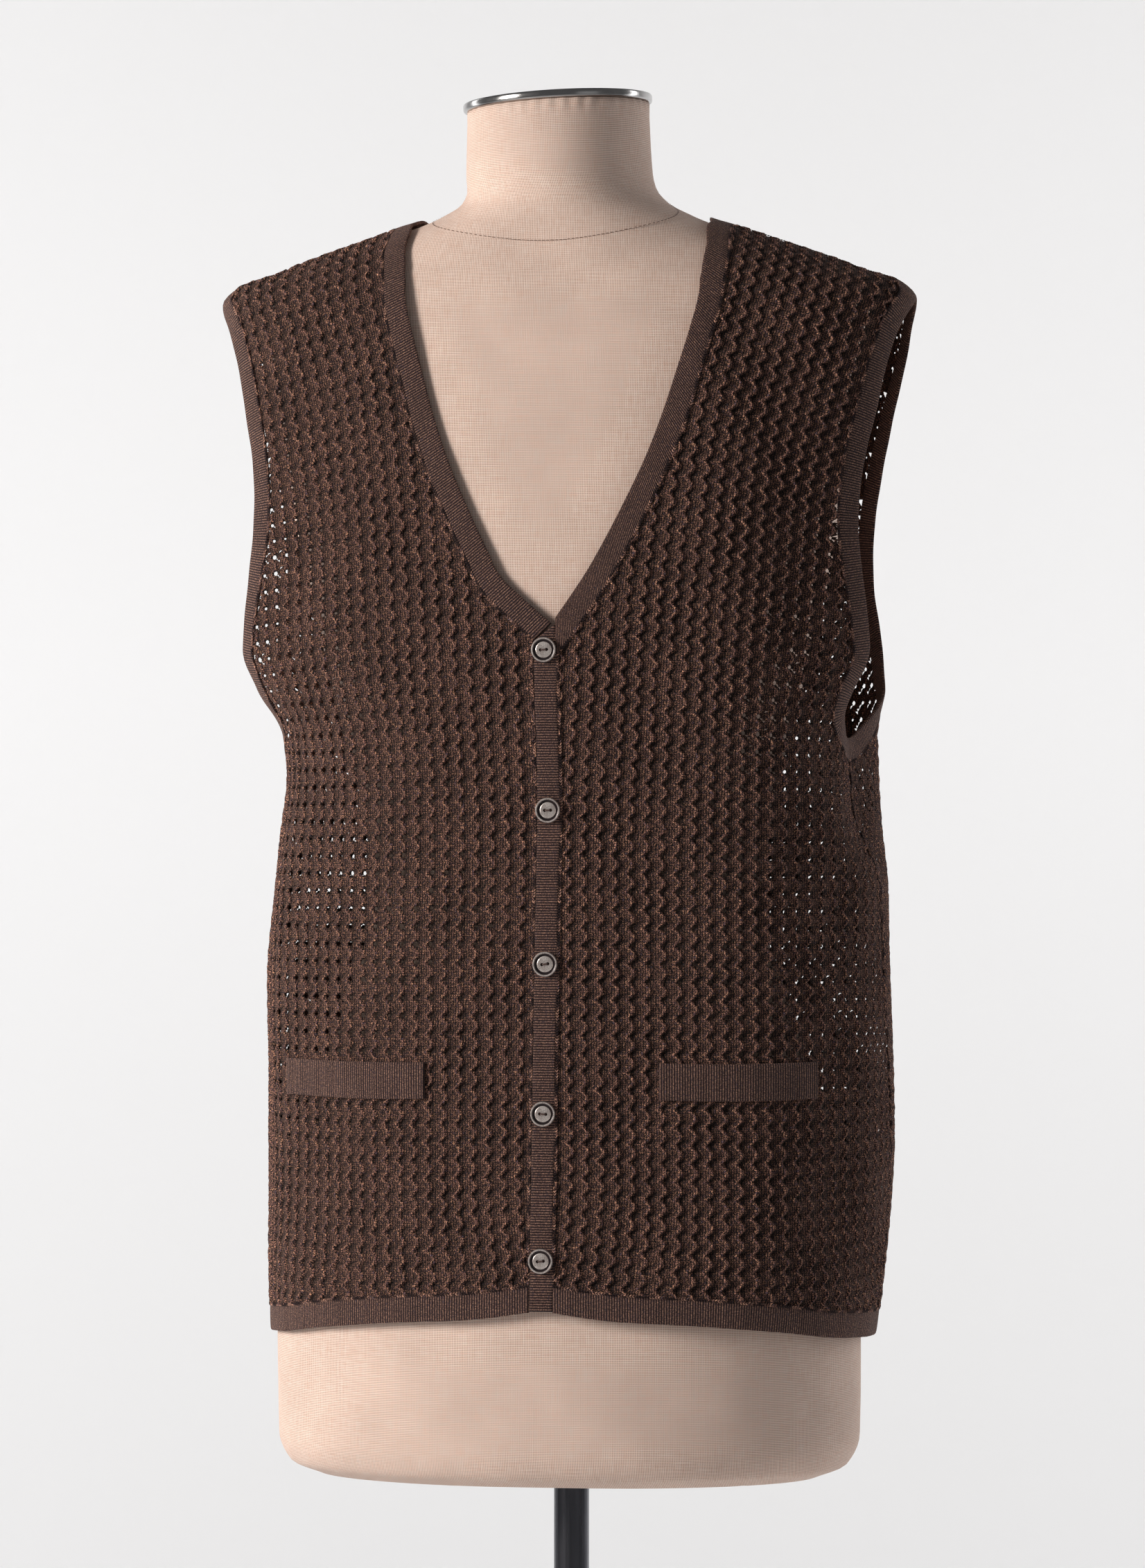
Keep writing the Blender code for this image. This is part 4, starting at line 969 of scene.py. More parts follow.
@dataclass(frozen=True)
class Melange:
    """Viscose and cotton melange yarn, machine knitted: matt, speckled, with near-black gaps between legs."""

    name: str
    # Yarn tones from the coolest to the warmest, and the gap between stitches.
    tones: tuple[str, ...]
    gap: str
    # Real sizes in mm: a stitch's width and height, or a rib's pitch.
    wale: float
    course: float
    # How steeply the legs of a stitch slant, and how dark the gaps between legs and rows are.
    slant: float
    legs: float
    rows: float
    # How far the yarn wanders from its place, in mm, and how deep the surface is.
    wander: float
    depth: float
    # How high the yarn stands where it starts to show, and where it shows wholly.
    shut: float = 0.06
    clear: float = 0.60
    # How far into a leg its round reaches, as a share of the pitch.
    round: float = 0.30
    sheen: float = 0.30
    # Sizes in mm: the yarn's wander, its fibres, its flecks, and the wear over the cloth.
    drift_size: float = 2.2
    fibre_size: float = 0.75
    fleck_size: float = 1.5
    wear_size: float = 26.0

    def make(self) -> Material:
        """The material, whose pattern follows the cloth's own courses and wales."""
        made, tree, shader = begun(self.name)
        cloth = add(tree, "UVMap", {"uv_map": "fabric"})
        drift = noise(tree, cloth, UV_MM / self.drift_size, 1.0).outputs["Color"]
        centred = add(tree, "VectorMath", {"operation": "SUBTRACT"}, {0: drift, 1: (0.5, 0.5, 0.5)})
        moved = scaled(tree, centred, self.wander / 50)
        yarn_at = add(tree, "VectorMath", {"operation": "ADD"}, {0: cloth, 1: moved})
        apart = add(tree, "SeparateXYZ", inputs={0: yarn_at}).outputs
        wale = calc(tree, "MULTIPLY", apart[0], UV_MM / self.wale)
        course = calc(tree, "MULTIPLY", apart[1], UV_MM / self.course)
        leg = calc(tree, "PINGPONG", wale, 0.5)
        bent = calc(tree, "MULTIPLY_ADD", leg, self.slant, course)
        row = calc(tree, "PINGPONG", bent, 0.5)
        round_leg = remap(tree, leg, 0.04, self.round, 1 - self.legs, 1.0, kind="SMOOTHSTEP")
        round_row = remap(tree, row, 0.02, 0.38, 1 - self.rows, 1.0, kind="SMOOTHSTEP")
        loops = calc(tree, "MULTIPLY", round_leg, round_row)
        crisp = remap(tree, noise(tree, cloth, UV_MM / self.fibre_size, 3.0, 0.75), 0.34, 0.62)
        height = calc(tree, "MULTIPLY", loops, crisp)
        flecks = noise(tree, cloth, UV_MM / self.fleck_size, 3.0, 0.7)
        yarn = ramped(tree, flecks, np.linspace(0.36, 0.64, len(self.tones)), self.tones)
        hollow, painted_crest_light = (
            add(tree, "Attribute", {"attribute_name": name}).outputs["Fac"] for name in ("hollow", "painted_crest_light")
        )
        hidden = remap(tree, height, self.shut, self.clear, 1.0, 0.0)
        # The gap tone reaches into the hollows: partly slack, open yarn, partly painted shade.
        slack = calc(tree, "MULTIPLY_ADD", hollow, 0.45, hidden)
        slack.use_clamp = True
        shaded = mixed(tree, slack, yarn.outputs[0], self.gap)
        clouds = noise(tree, cloth, UV_MM / self.wear_size, 2.0)
        # The top of the cord is painted up to 45% lighter: painted light, over random wear clouds.
        full = calc(tree, "MULTIPLY_ADD", painted_crest_light, 0.45, remap(tree, clouds, 0.3, 0.7, 0.88, 1.10))
        # The hollows are painted darker, down to 0.22 of the tone: painted shade.
        both = calc(tree, "MULTIPLY", full, remap(tree, hollow, 0.0, 1.0, 1.0, 0.22))
        looks = {
            "Base Color": scaled(tree, shaded, both),
            "Normal": bumped(tree, 0.9, self.depth, height),
            "Roughness": 0.84,
            "Specular IOR Level": 0.25,
            "Sheen Weight": self.sheen,
            "Sheen Roughness": 0.5,
            "Sheen Tint": linear("#b89c92"),
        }
        feed(tree, shader, looks)
        return made


OPEN_KNIT = Melange(
    "melange_open_knit",
    tones=("#87768c", "#7b524a", "#c08c7b", "#f1b48d"),
    gap="#0a0605",
    wale=1.55,
    course=1.30,
    slant=1.5,
    legs=0.80,
    rows=0.80,
    wander=0.95,
    depth=0.8,
    shut=0.12,
    clear=0.50,
    sheen=0.18,
)
# The rib's cords lie 1.55 mm apart along the band.
FINE_RIB = Melange(
    "melange_fine_rib",
    tones=("#a18b98", "#9b7061", "#bf9482", "#d8a48a"),
    gap="#21161a",
    wale=1.55,
    course=1.05,
    slant=0.5,
    legs=1.0,
    rows=0.20,
    wander=0.12,
    depth=0.9,
    shut=0.10,
    clear=0.75,
    round=0.46,
)


@dataclass(frozen=True)
class UnbleachedLinen:
    """Coarse plain-woven linen, glued and sewn over a shell: pink-beige threads with brown pinholes."""

    name: str = "unbleached_linen"
    thread: str = "#fbe6d9"
    warm: str = "#f0d1c0"
    hole: str = "#86583f"
    # Sizes in mm: the pitch of the threads, and the uneven bleaching over the cloth.
    thread_pitch: float = 1.05
    blotch_size: float = 45.0
    roughness: float = 0.86

    def make(self) -> Material:
        """The material; warp runs up V and weft along U."""
        made, tree, shader = begun(self.name)
        cloth = add(tree, "UVMap", {"uv_map": "fabric"})
        weft_slub, warp_slub = (
            noise(tree, add(tree, "Mapping", inputs={"Vector": cloth, "Scale": drawn}), 3.0, 3.0)
            for drawn in ((3.0, 60.0, 1.0), (60.0, 3.0, 1.0))
        )
        apart = add(tree, "SeparateXYZ", inputs={0: cloth}).outputs
        over, under = (
            calc(tree, "PINGPONG", calc(tree, "MULTIPLY", way, UV_MM / self.thread_pitch), 0.5)
            for way in (apart[0], apart[1])
        )
        hollow = calc(tree, "ADD", over, under)
        height = remap(tree, hollow, 0.14, 0.56, 0.0, 1.0)
        tone = remap(tree, calc(tree, "ADD", weft_slub, warp_slub), 0.8, 1.2)
        gap = remap(tree, height, 0.0, 0.9, 0.92, 0.0)
        holed = mixed(tree, gap, mixed(tree, tone, self.warm, self.thread), self.hole)
        worn = remap(tree, noise(tree, cloth, UV_MM / self.blotch_size, 3.0), 0.3, 0.7, 0.93, 1.05)
        looks = {
            "Base Color": scaled(tree, holed, worn),
            "Normal": bumped(tree, 0.45, 0.25, height),
            "Roughness": self.roughness,
            "Specular IOR Level": 0.25,
            "Sheen Weight": 0.08,
        }
        feed(tree, shader, looks)
        return made


@dataclass(frozen=True)
class Metal:
    """A metal, worn unevenly: polished steel for the cap, blued tube for the pole, paint for the base."""

    name: str
    colour: str
    roughness: float
    metallic: float
    grain_mm: float
    uneven: float
    stretch: tuple[float, float, float] = (1.0, 1.0, 1.0)
    coat: float = 0.0

    def make(self) -> Material:
        """The material, whose gloss varies with fine scratches or orange peel."""
        made, tree, shader = begun(self.name)
        where = add(tree, "TexCoord").outputs["Object"]
        drawn = add(tree, "Mapping", inputs={"Vector": where, "Scale": self.stretch})
        grain = noise(tree, drawn, 1 / (self.grain_mm * MM), 4.0)
        low, high = self.roughness - self.uneven, self.roughness + self.uneven
        looks = {
            "Base Color": linear(self.colour),
            "Metallic": self.metallic,
            "Roughness": remap(tree, grain, 0.3, 0.7, max(low, 0.02), high),
            "Normal": bumped(tree, 0.15, 0.02, grain),
            "Coat Weight": self.coat,
        }
        feed(tree, shader, looks)
        return made


@dataclass(frozen=True)
class PearlResin:
    """Turned resin with a satin plated face: silvery grey-brown, with painted shade in the recessed ring."""

    name: str = "pearl_resin"
    pearl: str = "#dad1cc"
    deep: str = "#b0a39d"
    recess_shade: str = "#33282a"
    # The recessed ring's middle and half width, in mm from the button's axis.
    ring: tuple[float, float] = (5.55, 0.68)
    # Sizes in mm: the clouds in the pigment, and the scuffs.
    cloud_size: float = 3.0
    scuff_size: float = 0.6

    def make(self) -> Material:
        """The material, with clouded pigment and a thin clear gloss."""
        made, tree, shader = begun(self.name)
        where = add(tree, "TexCoord").outputs["Object"]
        cloud = noise(tree, where, 1 / (self.cloud_size * MM), 3.0)
        pigment = ramped(tree, cloud, np.array([0.3, 0.7]), (self.deep, self.pearl))
        flat = add(tree, "VectorMath", {"operation": "MULTIPLY"}, {0: where, 1: (1.0, 1.0, 0.0)})
        radius = add(tree, "VectorMath", {"operation": "LENGTH"}, {0: flat}).outputs["Value"]
        # The recessed ring is painted near-black: painted shade of the recess.
        recess_shade_mask = calc(tree, "COMPARE", radius, *(size * MM for size in self.ring))
        scuffs = noise(tree, where, 1 / (self.scuff_size * MM), 2.0)
        looks = {
            "Base Color": mixed(tree, recess_shade_mask, pigment.outputs[0], self.recess_shade),
            "Roughness": remap(tree, scuffs, 0.3, 0.7, 0.22, 0.42),
            "Metallic": 0.6,
            "Coat Weight": 0.4,
            "Coat Roughness": 0.12,
        }
        feed(tree, shader, looks)
        return made


@dataclass(frozen=True)
class SpunThread:
    """Two-ply polyester sewing thread: dark or pale, with painted lustre and painted shade in bands along its
    twist.
    """

    name: str
    colour: str
    # The darker tone of the twist bands: painted shade.
    shade: str

    def make(self) -> Material:
        """The material, banded by the thread's twist with painted lustre and painted shade."""
        made, tree, shader = begun(self.name)
        where = add(tree, "TexCoord").outputs["Object"]
        wound = {"Vector": where, "Scale": 900.0, "Distortion": 0.6}
        twist = add(tree, "TexWave", {"bands_direction": "DIAGONAL"}, wound)
        # The twist bands mix the two tones: painted lustre and painted shade along the plies.
        ply = mixed(tree, twist.outputs[0], self.shade, self.colour)
        feed(tree, shader, {"Base Color": ply, "Roughness": 0.65, "Sheen Weight": 0.2})
        return made


# ---------------- knitted panels


@dataclass(frozen=True)
class KnitChart:
    """One repeat of the open knit: a serpentine cord, with a rounded pocket on its right at each inward bend.

    Each tuple has one value for each column of the repeat, from left to right.
    """

    width: float = 9.3 * MM
    height: float = 10.6 * MM
    rows: int = 9
    # How far the cord swings from one side to the other, and how late in the repeat it swings farthest.
    swing: float = 4.3 * MM
    lateness: float = 1.25
    # Where each column lies across the repeat, its height in mm, and how deep the pocket is there.
    share: tuple[float, ...] = (0.00, 0.09, 0.17, 0.26, 0.345, 0.46, 0.62, 0.82)
    cord: tuple[float, ...] = (-0.22, 0.48, 1.08, 0.98, -0.02, -0.22, -0.18, -0.16)
    pocket: tuple[float, ...] = (0.00, 0.00, 0.00, 0.10, 0.50, 1.15, 0.95, 0.15)
    # Where up the repeat the pocket's middle is, and how tall it is.
    pocket_at: float = 0.13
    pocket_tall: float = 0.20
    eyelet_column: int = 5
    eyelet_row: int = 1
    # An eyelet's half width, shut and wide open, how far its corners reach, and how tall it is for its width.
    eyelet_small: float = 0.42 * MM
    eyelet_large: float = 1.60 * MM
    eyelet_corner: float = 0.66
    eyelet_tall: float = 1.1

    @property
    def columns(self) -> int:
        """The number of columns in a repeat."""
        return len(self.share)


@dataclass(frozen=True)
class Lattice:
    """The knitted lattice: each place's row and column in the repeat, and where it lies in flat metres."""

    row: Array
    column: Array
    across: Array
    along: Array


@dataclass
class KnitPanel:
    """A panel of the open knit on the envelope."""

    name: str
    cloth: Envelope
    flat: FlatPanel
    chart: KnitChart
    seed: int
    lift: float = -0.35 * MM
    # How far the cloth hangs from the form where its eyelets start to open, and where they are wholly open.
    open_from: float = 7 * MM
    open_to: float = 38 * MM
    # The yarn's unevenness: shares of the swing and of the relief, and lengths that yarn strays.
    uneven_swing: float = 0.16
    uneven_relief: float = 0.22
    wander: float = 0.5 * MM
    loose_yarn: float = 0.10 * MM
    least_slack: float = 0.22
    # The lobe at which a place isn't drawn aside.
    mean_lobe: float = 0.6
    # How open the cloth is where main eyelets, the holes below them and the side pinholes appear.
    hole_from: float = 0.10
    lower_hole_from: float = 0.45
    pinhole_from: float = 0.7

    def _lattice(self) -> Lattice:
        """The lattice that covers the flat panel."""
        chart = self.chart
        low = self.flat.points.min(axis=0)
        high = self.flat.points.max(axis=0)
        cell_h = chart.height / chart.rows
        repeats = np.arange(math.floor(low[0] / chart.width) - 1, math.ceil(high[0] / chart.width) + 1)
        across = (repeats[:, None] + np.array(chart.share)[None, :]).ravel() * chart.width
        column = np.tile(np.arange(chart.columns), len(repeats))
        j = np.arange(math.floor(low[1] / cell_h) - 2, math.ceil(high[1] / cell_h) + 3)
        row, column = np.meshgrid(j % chart.rows, column, indexing="ij")
        along, across = np.meshgrid(j * cell_h, across, indexing="ij")
        return Lattice(row, column, across, along)

    def _lobe(self, lattice: Lattice) -> Array:
        """How far out the cord has swung at each place: 0 at an inward bend, 1 at the outermost."""
        return np.abs(np.sin(math.pi * (lattice.row / self.chart.rows) ** self.chart.lateness))

    def _sway(self, lattice: Lattice, lobe: Array) -> Array:
        """How far each place is drawn aside by the cord's swing."""
        across, along = lattice.across, lattice.along
        uneven = 1 + self.uneven_swing * np.sin(across * 310 + 1.7) * np.sin(along * 270 + self.seed)
        wander = self.wander * np.sin(along * 47 + across * 19 + self.seed)
        return self.chart.swing * uneven * (lobe - self.mean_lobe) + wander

    def _relief(self, lattice: Lattice, lobe: Array, openness: Array) -> Array:
        """How far each place stands out of the cloth's mean face."""
        chart = self.chart
        # The cord stands highest where it has swung farthest, and cloth that is drawn open is flatter.
        cord = np.array(chart.cord)[lattice.column] * (0.85 + 0.25 * lobe)
        away = (lattice.row / chart.rows - chart.pocket_at + 0.5) % 1 - 0.5
        pocket = np.array(chart.pocket)[lattice.column] * np.exp(-((away / chart.pocket_tall) ** 2))
        rng = np.random.default_rng(self.seed)
        loose = rng.normal(0.0, self.loose_yarn, cord.shape)
        waves = np.sin(lattice.across * 95 + self.seed) * np.sin(lattice.along * 71 + 2.1)
        slack = 1 + self.uneven_relief * waves
        return (cord - pocket) * MM * slack * (1 - 0.25 * openness) + loose

    def _openness(self, angle: Array, z: Array) -> Array:
        """How far the eyelets are drawn open: closed where the cloth rests, open where it hangs free."""
        free = self.cloth.cloth_radius(angle, z) - self.cloth.form_radius(angle, z)
        return smooth_step((free - self.open_from) / (self.open_to - self.open_from))

    def _slackness(self, lattice: Lattice) -> Array:
        """How freely each repeat's eyelet opens: no two are quite alike."""
        chart = self.chart
        i = np.floor(lattice.across / chart.width).astype(int)
        j = np.floor(lattice.along / chart.height + 0.5 - chart.eyelet_row / chart.rows).astype(int)
        rng = np.random.default_rng(self.seed + 7)
        drawn = rng.uniform(self.least_slack, 1.0, (int(np.ptp(j)) + 1, int(np.ptp(i)) + 1))
        return drawn[j - j.min(), i - i.min()]

    def _from_eyelet(self, lattice: Lattice) -> tuple[Array, Array]:
        """How many columns and rows each place lies from the nearest main eyelet."""
        chart = self.chart
        half_wide, half_tall = chart.columns // 2, chart.rows // 2
        di = (lattice.column - chart.eyelet_column + half_wide) % chart.columns - half_wide
        dj = (lattice.row - chart.eyelet_row + half_tall) % chart.rows - half_tall
        return di, dj

    def _draw_eyelets(self, lattice: Lattice, spots: Array, openness: Array) -> Array:
        """Draws the rim of each main eyelet in to its real size and diamond shape."""
        chart = self.chart
        di, dj = self._from_eyelet(lattice)
        drawn = spots.copy()
        for r, c in zip(*np.nonzero((di == 0) & (dj == 0))):
            if r == 0 or c == 0 or r + 1 == spots.shape[0] or c + 1 == spots.shape[1]:
                continue
            half = chart.eyelet_small + (chart.eyelet_large - chart.eyelet_small) * openness[r, c]
            for down in (-1, 0, 1):
                for over in (-1, 0, 1):
                    if down or over:
                        reach = half * (chart.eyelet_corner if down and over else 1.0)
                        aside = over * reach, down * reach * chart.eyelet_tall
                        drawn[r + down, c + over] = spots[r, c] + aside
        return drawn

    def _kept(self, lattice: Lattice, openness: Array) -> tuple[Array, Array]:
        """Which cells are knitted: both halves, and the half that is left beside a pinhole."""
        di, dj = (part[:-1, :-1] for part in self._from_eyelet(lattice))
        wide = openness[:-1, :-1]
        main = np.isin(di, (-1, 0)) & np.isin(dj, (-1, 0)) & (wide > self.hole_from)
        below = (di == 1) & (dj == -2) & (wide > self.lower_hole_from)
        pinholes = (di == 1) & np.isin(dj, (-3, 2)) & (wide > self.pinhole_from)
        return ~main, ~(main | pinholes | below)

    def build(self) -> Piece:
        """Knits the panel and returns it."""
        lattice = self._lattice()
        shape = lattice.row.shape
        cell = self.chart.width / self.chart.columns
        lobe = self._lobe(lattice)
        spots = np.stack([lattice.across + self._sway(lattice, lobe), lattice.along], axis=-1)
        placed, _ = self.flat.find(spots.reshape(-1, 2), 0.8 * cell)
        openness = self._openness(*placed.T).reshape(shape) * self._slackness(lattice)
        drawn = self._draw_eyelets(lattice, spots, openness)
        placed, found = self.flat.find(drawn.reshape(-1, 2), 0.8 * cell)
        height = self._relief(lattice, lobe, openness).ravel() + self.lift
        at, out = self.cloth.on_curve(placed)
        points = at + out * height[:, None]
        whole, other_half = self._kept(lattice, openness)
        ok = found.reshape(shape)
        ok = ok[:-1, :-1] & ok[1:, :-1] & ok[:-1, 1:] & ok[1:, 1:]
        number = np.arange(points.shape[0]).reshape(shape)
        corners = np.stack([number[:-1, :-1], number[:-1, 1:], number[1:, 1:], number[1:, :-1]], axis=-1)
        first = corners[ok & whole][:, [0, 1, 2]]
        second = corners[ok & other_half][:, [0, 2, 3]]
        faces = np.concatenate([first, second])
        used, faces = np.unique(faces, return_inverse=True)
        faces = faces.reshape(-1, 3)
        uvs = drawn.reshape(-1, 2)
        piece = mesh_from(self.name, points[used], faces, uvs[used])
        # The finish is darker in the hollows, where the yarn is slack and open and painted shade is laid, and
        # painted lighter on top of the cord, as painted light.
        above = (height - self.lift) / MM
        for name, share in (("hollow", (0.05 - above) / 0.95), ("painted_crest_light", (above - 0.15) / 0.85)):
            clipped = np.clip(share, 0.0, 1.0)[used]
            piece.data.attributes.new(name, "FLOAT", "POINT").data.foreach_set("value", clipped)
        log.info("%s: %d triangles, flat %.3f x %.3f m", self.name, len(faces), *self.flat.size)
        return piece


# ---------------- rib bands


@dataclass
class RibBand:
    """A closed band of rib between two edges on the envelope, with rounded edges and a crowned face."""

    name: str
    cloth: Envelope
    free: Array
    seam: Array
    outer: float
    wall: float = 2.1 * MM
    looped: bool = False
    # The ribs lie level, whatever the slant of the band's ends.
    level: bool = False
    station: float = 1.6 * MM
    ripple: float = 0.14 * MM
    # The section: share across from the free edge, and depth under the outer face in mm.
    face: tuple[tuple[float, float], ...] = (
        (0.004, -0.55), (0.030, -0.16), (0.090, 0.02), (0.220, 0.10), (0.420, 0.14), (0.620, 0.14),
        (0.800, 0.08), (0.920, -0.02), (0.975, -0.22), (0.998, -0.60),
    )

    def _section(self) -> list[tuple[float, float]]:
        """The whole section: the outer face, then the inner face back again."""
        wall = self.wall / MM
        inner = [(share, -wall - depth * 0.8) for share, depth in self.face[::-2]]
        return list(self.face) + inner

    def _stations(self) -> tuple[Array, Array, Array]:
        """Both edges at even steps, and the length along the band at each."""
        run = self.cloth.lengths((self.free + self.seam) / 2)
        wanted = np.linspace(0, run[-1], max(4, int(run[-1] / self.station)))
        return at_runs(self.free, run, wanted), at_runs(self.seam, run, wanted), wanted

    def build(self) -> Piece:
        """Knits the band and returns it."""
        free, seam, run = self._stations()
        section = self._section()
        shares = np.array([share for share, _ in section])[None, :, None]
        grid = free[:, None] * (1 - shares) + seam[:, None] * shares
        angle, z = grid[..., 0], grid[..., 1]
        # A looped band's wave has to close, so it goes round a whole number of times.
        waves = FULL_TURN * run / run[-1]
        ripple = self.ripple * (np.sin(waves * 9 + 0.6) + 0.7 * np.sin(waves * 23 + 2.0))
        depth = np.array([d for _, d in section])[None, :] * MM + self.outer + ripple[:, None]
        points = self.cloth.place(angle, z) + self.cloth.normal(angle, z) * depth[..., None]
        rows, columns = angle.shape
        width = np.linalg.norm(points[:, len(self.face) - 1] - points[:, 0], axis=-1)
        u = points[..., 2].copy() if self.level else np.repeat(run[:, None], columns, axis=1)
        v = shares[0, :, 0][None, :] * width[:, None]
        faces = cells(rows, columns, closed=True)[:, [0, 3, 2, 1]]
        if self.looped:
            points, u, v = points[:-1], u[:-1], v[:-1]
            faces = faces % ((rows - 1) * columns)
        else:
            faces = capped(faces, rows, columns)
        uvs = np.stack([u.ravel(), v.ravel()], axis=-1)
        piece = mesh_from(self.name, points.reshape(-1, 3), faces, uvs)
        shaped = bmesh.new()
        shaped.from_mesh(piece.data)
        bmesh.ops.recalc_face_normals(shaped, faces=shaped.faces)
        shaped.to_mesh(piece.data)
        shaped.free()
        self.length = float(run[-1])
        self.width = float(width.mean())
        log.info("%s: %.3f x %.3f m", self.name, self.width, self.length)
        return piece


# ---------------- the garment


@dataclass
class Cardigan:
    """The cardigan's cloth: three knitted panels, their bands, the welts and the linking stitches."""

    cloth: Envelope
    cut: Cut
    knit: Material
    rib: Material
    thread: Material
    band_lift: float = 0.3 * MM
    placket_lift: float = 0.6 * MM
    # The upper placket bulges a little below each button; the last is the cloth's radius there.
    bulge: float = 1.6 * MM
    bulge_below: float = 4 * MM
    bulge_reach: float = 13 * MM
    placket_radius: float = 0.12
    welt_wall: float = 1.8 * MM
    # The ends of the right welt and of the left one, in degrees, and the lower and upper edge of both.
    welt_ends: tuple[tuple[float, float], ...] = ((-68.5, -31.7), (32.0, 64.5))
    welt_z: tuple[float, float] = (0.8905, 0.9125)
    side_seam_z: tuple[float, float] = (0.7600, 1.0935)
    placket_seam_from: float = 0.7830

    def build(self) -> None:
        """Builds every piece of cloth."""
        self._panels()
        self._neck_band()
        self._arm_bands()
        self._hem_bands()
        self._plackets()
        self._welts()
        self._linking()

    def _panels(self) -> None:
        """The two fronts and the back."""
        front_chart = KnitChart()
        # The back is knitted on a coarser lattice, to keep its triangles in bounds.
        back_chart = KnitChart(
            rows=6,
            share=(0.00, 0.20, 0.38, 0.50, 0.72),
            cord=(-0.15, 1.05, -0.05, -0.30, -0.20),
            pocket=(0.00, 0.00, 0.40, 1.00, 0.45),
            eyelet_column=3,
        )
        for side, name in ((-1, "front_right"), (1, "front_left")):
            flat = FlatPanel(self.cloth, self.cut.front_grid(side), 0)
            piece = KnitPanel("knit_" + name, self.cloth, flat, front_chart, seed=4 + side).build()
            settle(piece, self.knit, Slot.KNIT, name)
            flat.size
            flat.area
        back = self.cut.back_grid()
        flat = FlatPanel(self.cloth, back, back.shape[1] // 2)
        piece = KnitPanel("knit_back", self.cloth, flat, back_chart, seed=8).build()
        settle(piece, self.knit, Slot.KNIT, "back")
        flat.size
        flat.area

    def _band(self, band: RibBand, *nodes: str) -> Piece:
        piece = band.build()
        settle(piece, self.rib, Slot.RIB, *nodes)
        return piece

    def _neck_band(self) -> None:
        """One strip from the V point up the right side, round the back and down the left side."""
        lines = []
        for line in (0, 1):
            runs = {}
            for side in (-1, 1):
                front, back = self.cut.neck_stations(side)
                runs[side] = np.vstack([front[line], back[line][1:]])
            turned = runs[1][::-1].copy()
            turned[:, 0] -= FULL_TURN
            lines.append(np.vstack([runs[-1], turned[1:]]))
        self._band(RibBand("rib_neck_band", self.cloth, lines[0], lines[1], self.band_lift), "neck_band")

    def _arm_bands(self) -> None:
        """A looped strip round each armhole."""
        for side, name in ((-1, "armhole_band_right"), (1, "armhole_band_left")):
            front, back = self.cut.arm_stations(side)
            free, seam = (np.vstack([front[k], back[k][::-1][1:]]) for k in (0, 1))
            self._band(RibBand("rib_" + name, self.cloth, free, seam, self.band_lift, looped=True), name)

    def _hem_strip(self, start: float, end: float) -> tuple[Array, Array]:
        """The free edge and the seam of the hem between two angles."""
        angle = np.linspace(start, end, 160)
        low = self.cut.hem_z(angle)
        return np.stack([angle, low], axis=-1), np.stack([angle, low + self.cut.hem_band_width], axis=-1)

    def _hem_bands(self) -> None:
        """The three strips of the hem."""
        low = np.array([float(self.cut.hem_z(np.array(self.cut.placket_angle)))])
        inner = {side: float(self.cut.placket_edge(low, side, self.cut.seam_gap)[0, 0]) for side in (-1, 1)}
        right = float(self.cut.side_seam(-1, low)[0, 0])
        left = float(self.cut.side_seam(1, low)[0, 0])
        strips = (
            ("hem_band_right", right, inner[-1]),
            ("hem_band_left", inner[1], left),
            ("hem_band_back", left, right + FULL_TURN),
        )
        for name, start, end in strips:
            free, seam = self._hem_strip(start, end)
            self._band(RibBand("rib_" + name, self.cloth, free, seam, 0.0, Envelope.panel_wall), name)

    def _placket_lines(self, right_top: float, left_top: float, bulge: float) -> tuple[Array, Array]:
        """The two edges of a placket strip; the left one bulges beside each button."""
        low = float(self.cut.hem_z(np.array(0.02)))
        right_z, left_z = (np.linspace(low, top, 260) for top in (right_top, left_top))
        right = self.cut.placket_edge(right_z, -1)
        left = self.cut.placket_edge(left_z, 1)
        for height in BUTTON_HEIGHTS:
            near = np.exp(-(((left_z - height + self.bulge_below) / self.bulge_reach) ** 2))
            left[:, 0] += bulge * near / self.placket_radius
        return right, left

    def _plackets(self) -> None:
        """The buttonhole strip on top and the button strip beneath it."""
        top = self.cut.placket_top_right_z
        right, left = self._placket_lines(top - 0.3 * MM, V_POINT[1] - 0.8 * MM, self.bulge)
        upper = RibBand("rib_placket_right", self.cloth, right, left, self.placket_lift, level=True)
        self._band(upper, "placket_right")
        right, left = self._placket_lines(top - 4 * MM, V_POINT[1] - 6 * MM, 0.0)
        lift = self.placket_lift - RibBand.wall - self.cut.seam_gap
        lower = RibBand("rib_placket_left", self.cloth, right, left, lift, level=True)
        self._band(lower, "placket_left")

    def _welts(self) -> None:
        """The pocket welts: their ribs run up and down, and their lower edges sag a little."""
        for ends, name in zip(np.radians(self.welt_ends), ("pocket_welt_right", "pocket_welt_left")):
            angle = np.linspace(ends[0], ends[1], 120)
            share = np.linspace(0, 1, 120)
            low = self.welt_z[0] - 0.8 * MM * np.sin(math.pi * share)
            high = self.welt_z[1] - 0.5 * MM * np.sin(math.pi * share)
            free, seam = np.stack([angle, low], axis=-1), np.stack([angle, high], axis=-1)
            lift = self.cut.seam_gap + self.welt_wall
            self._band(RibBand("rib_" + name, self.cloth, free, seam, lift, self.welt_wall), name)

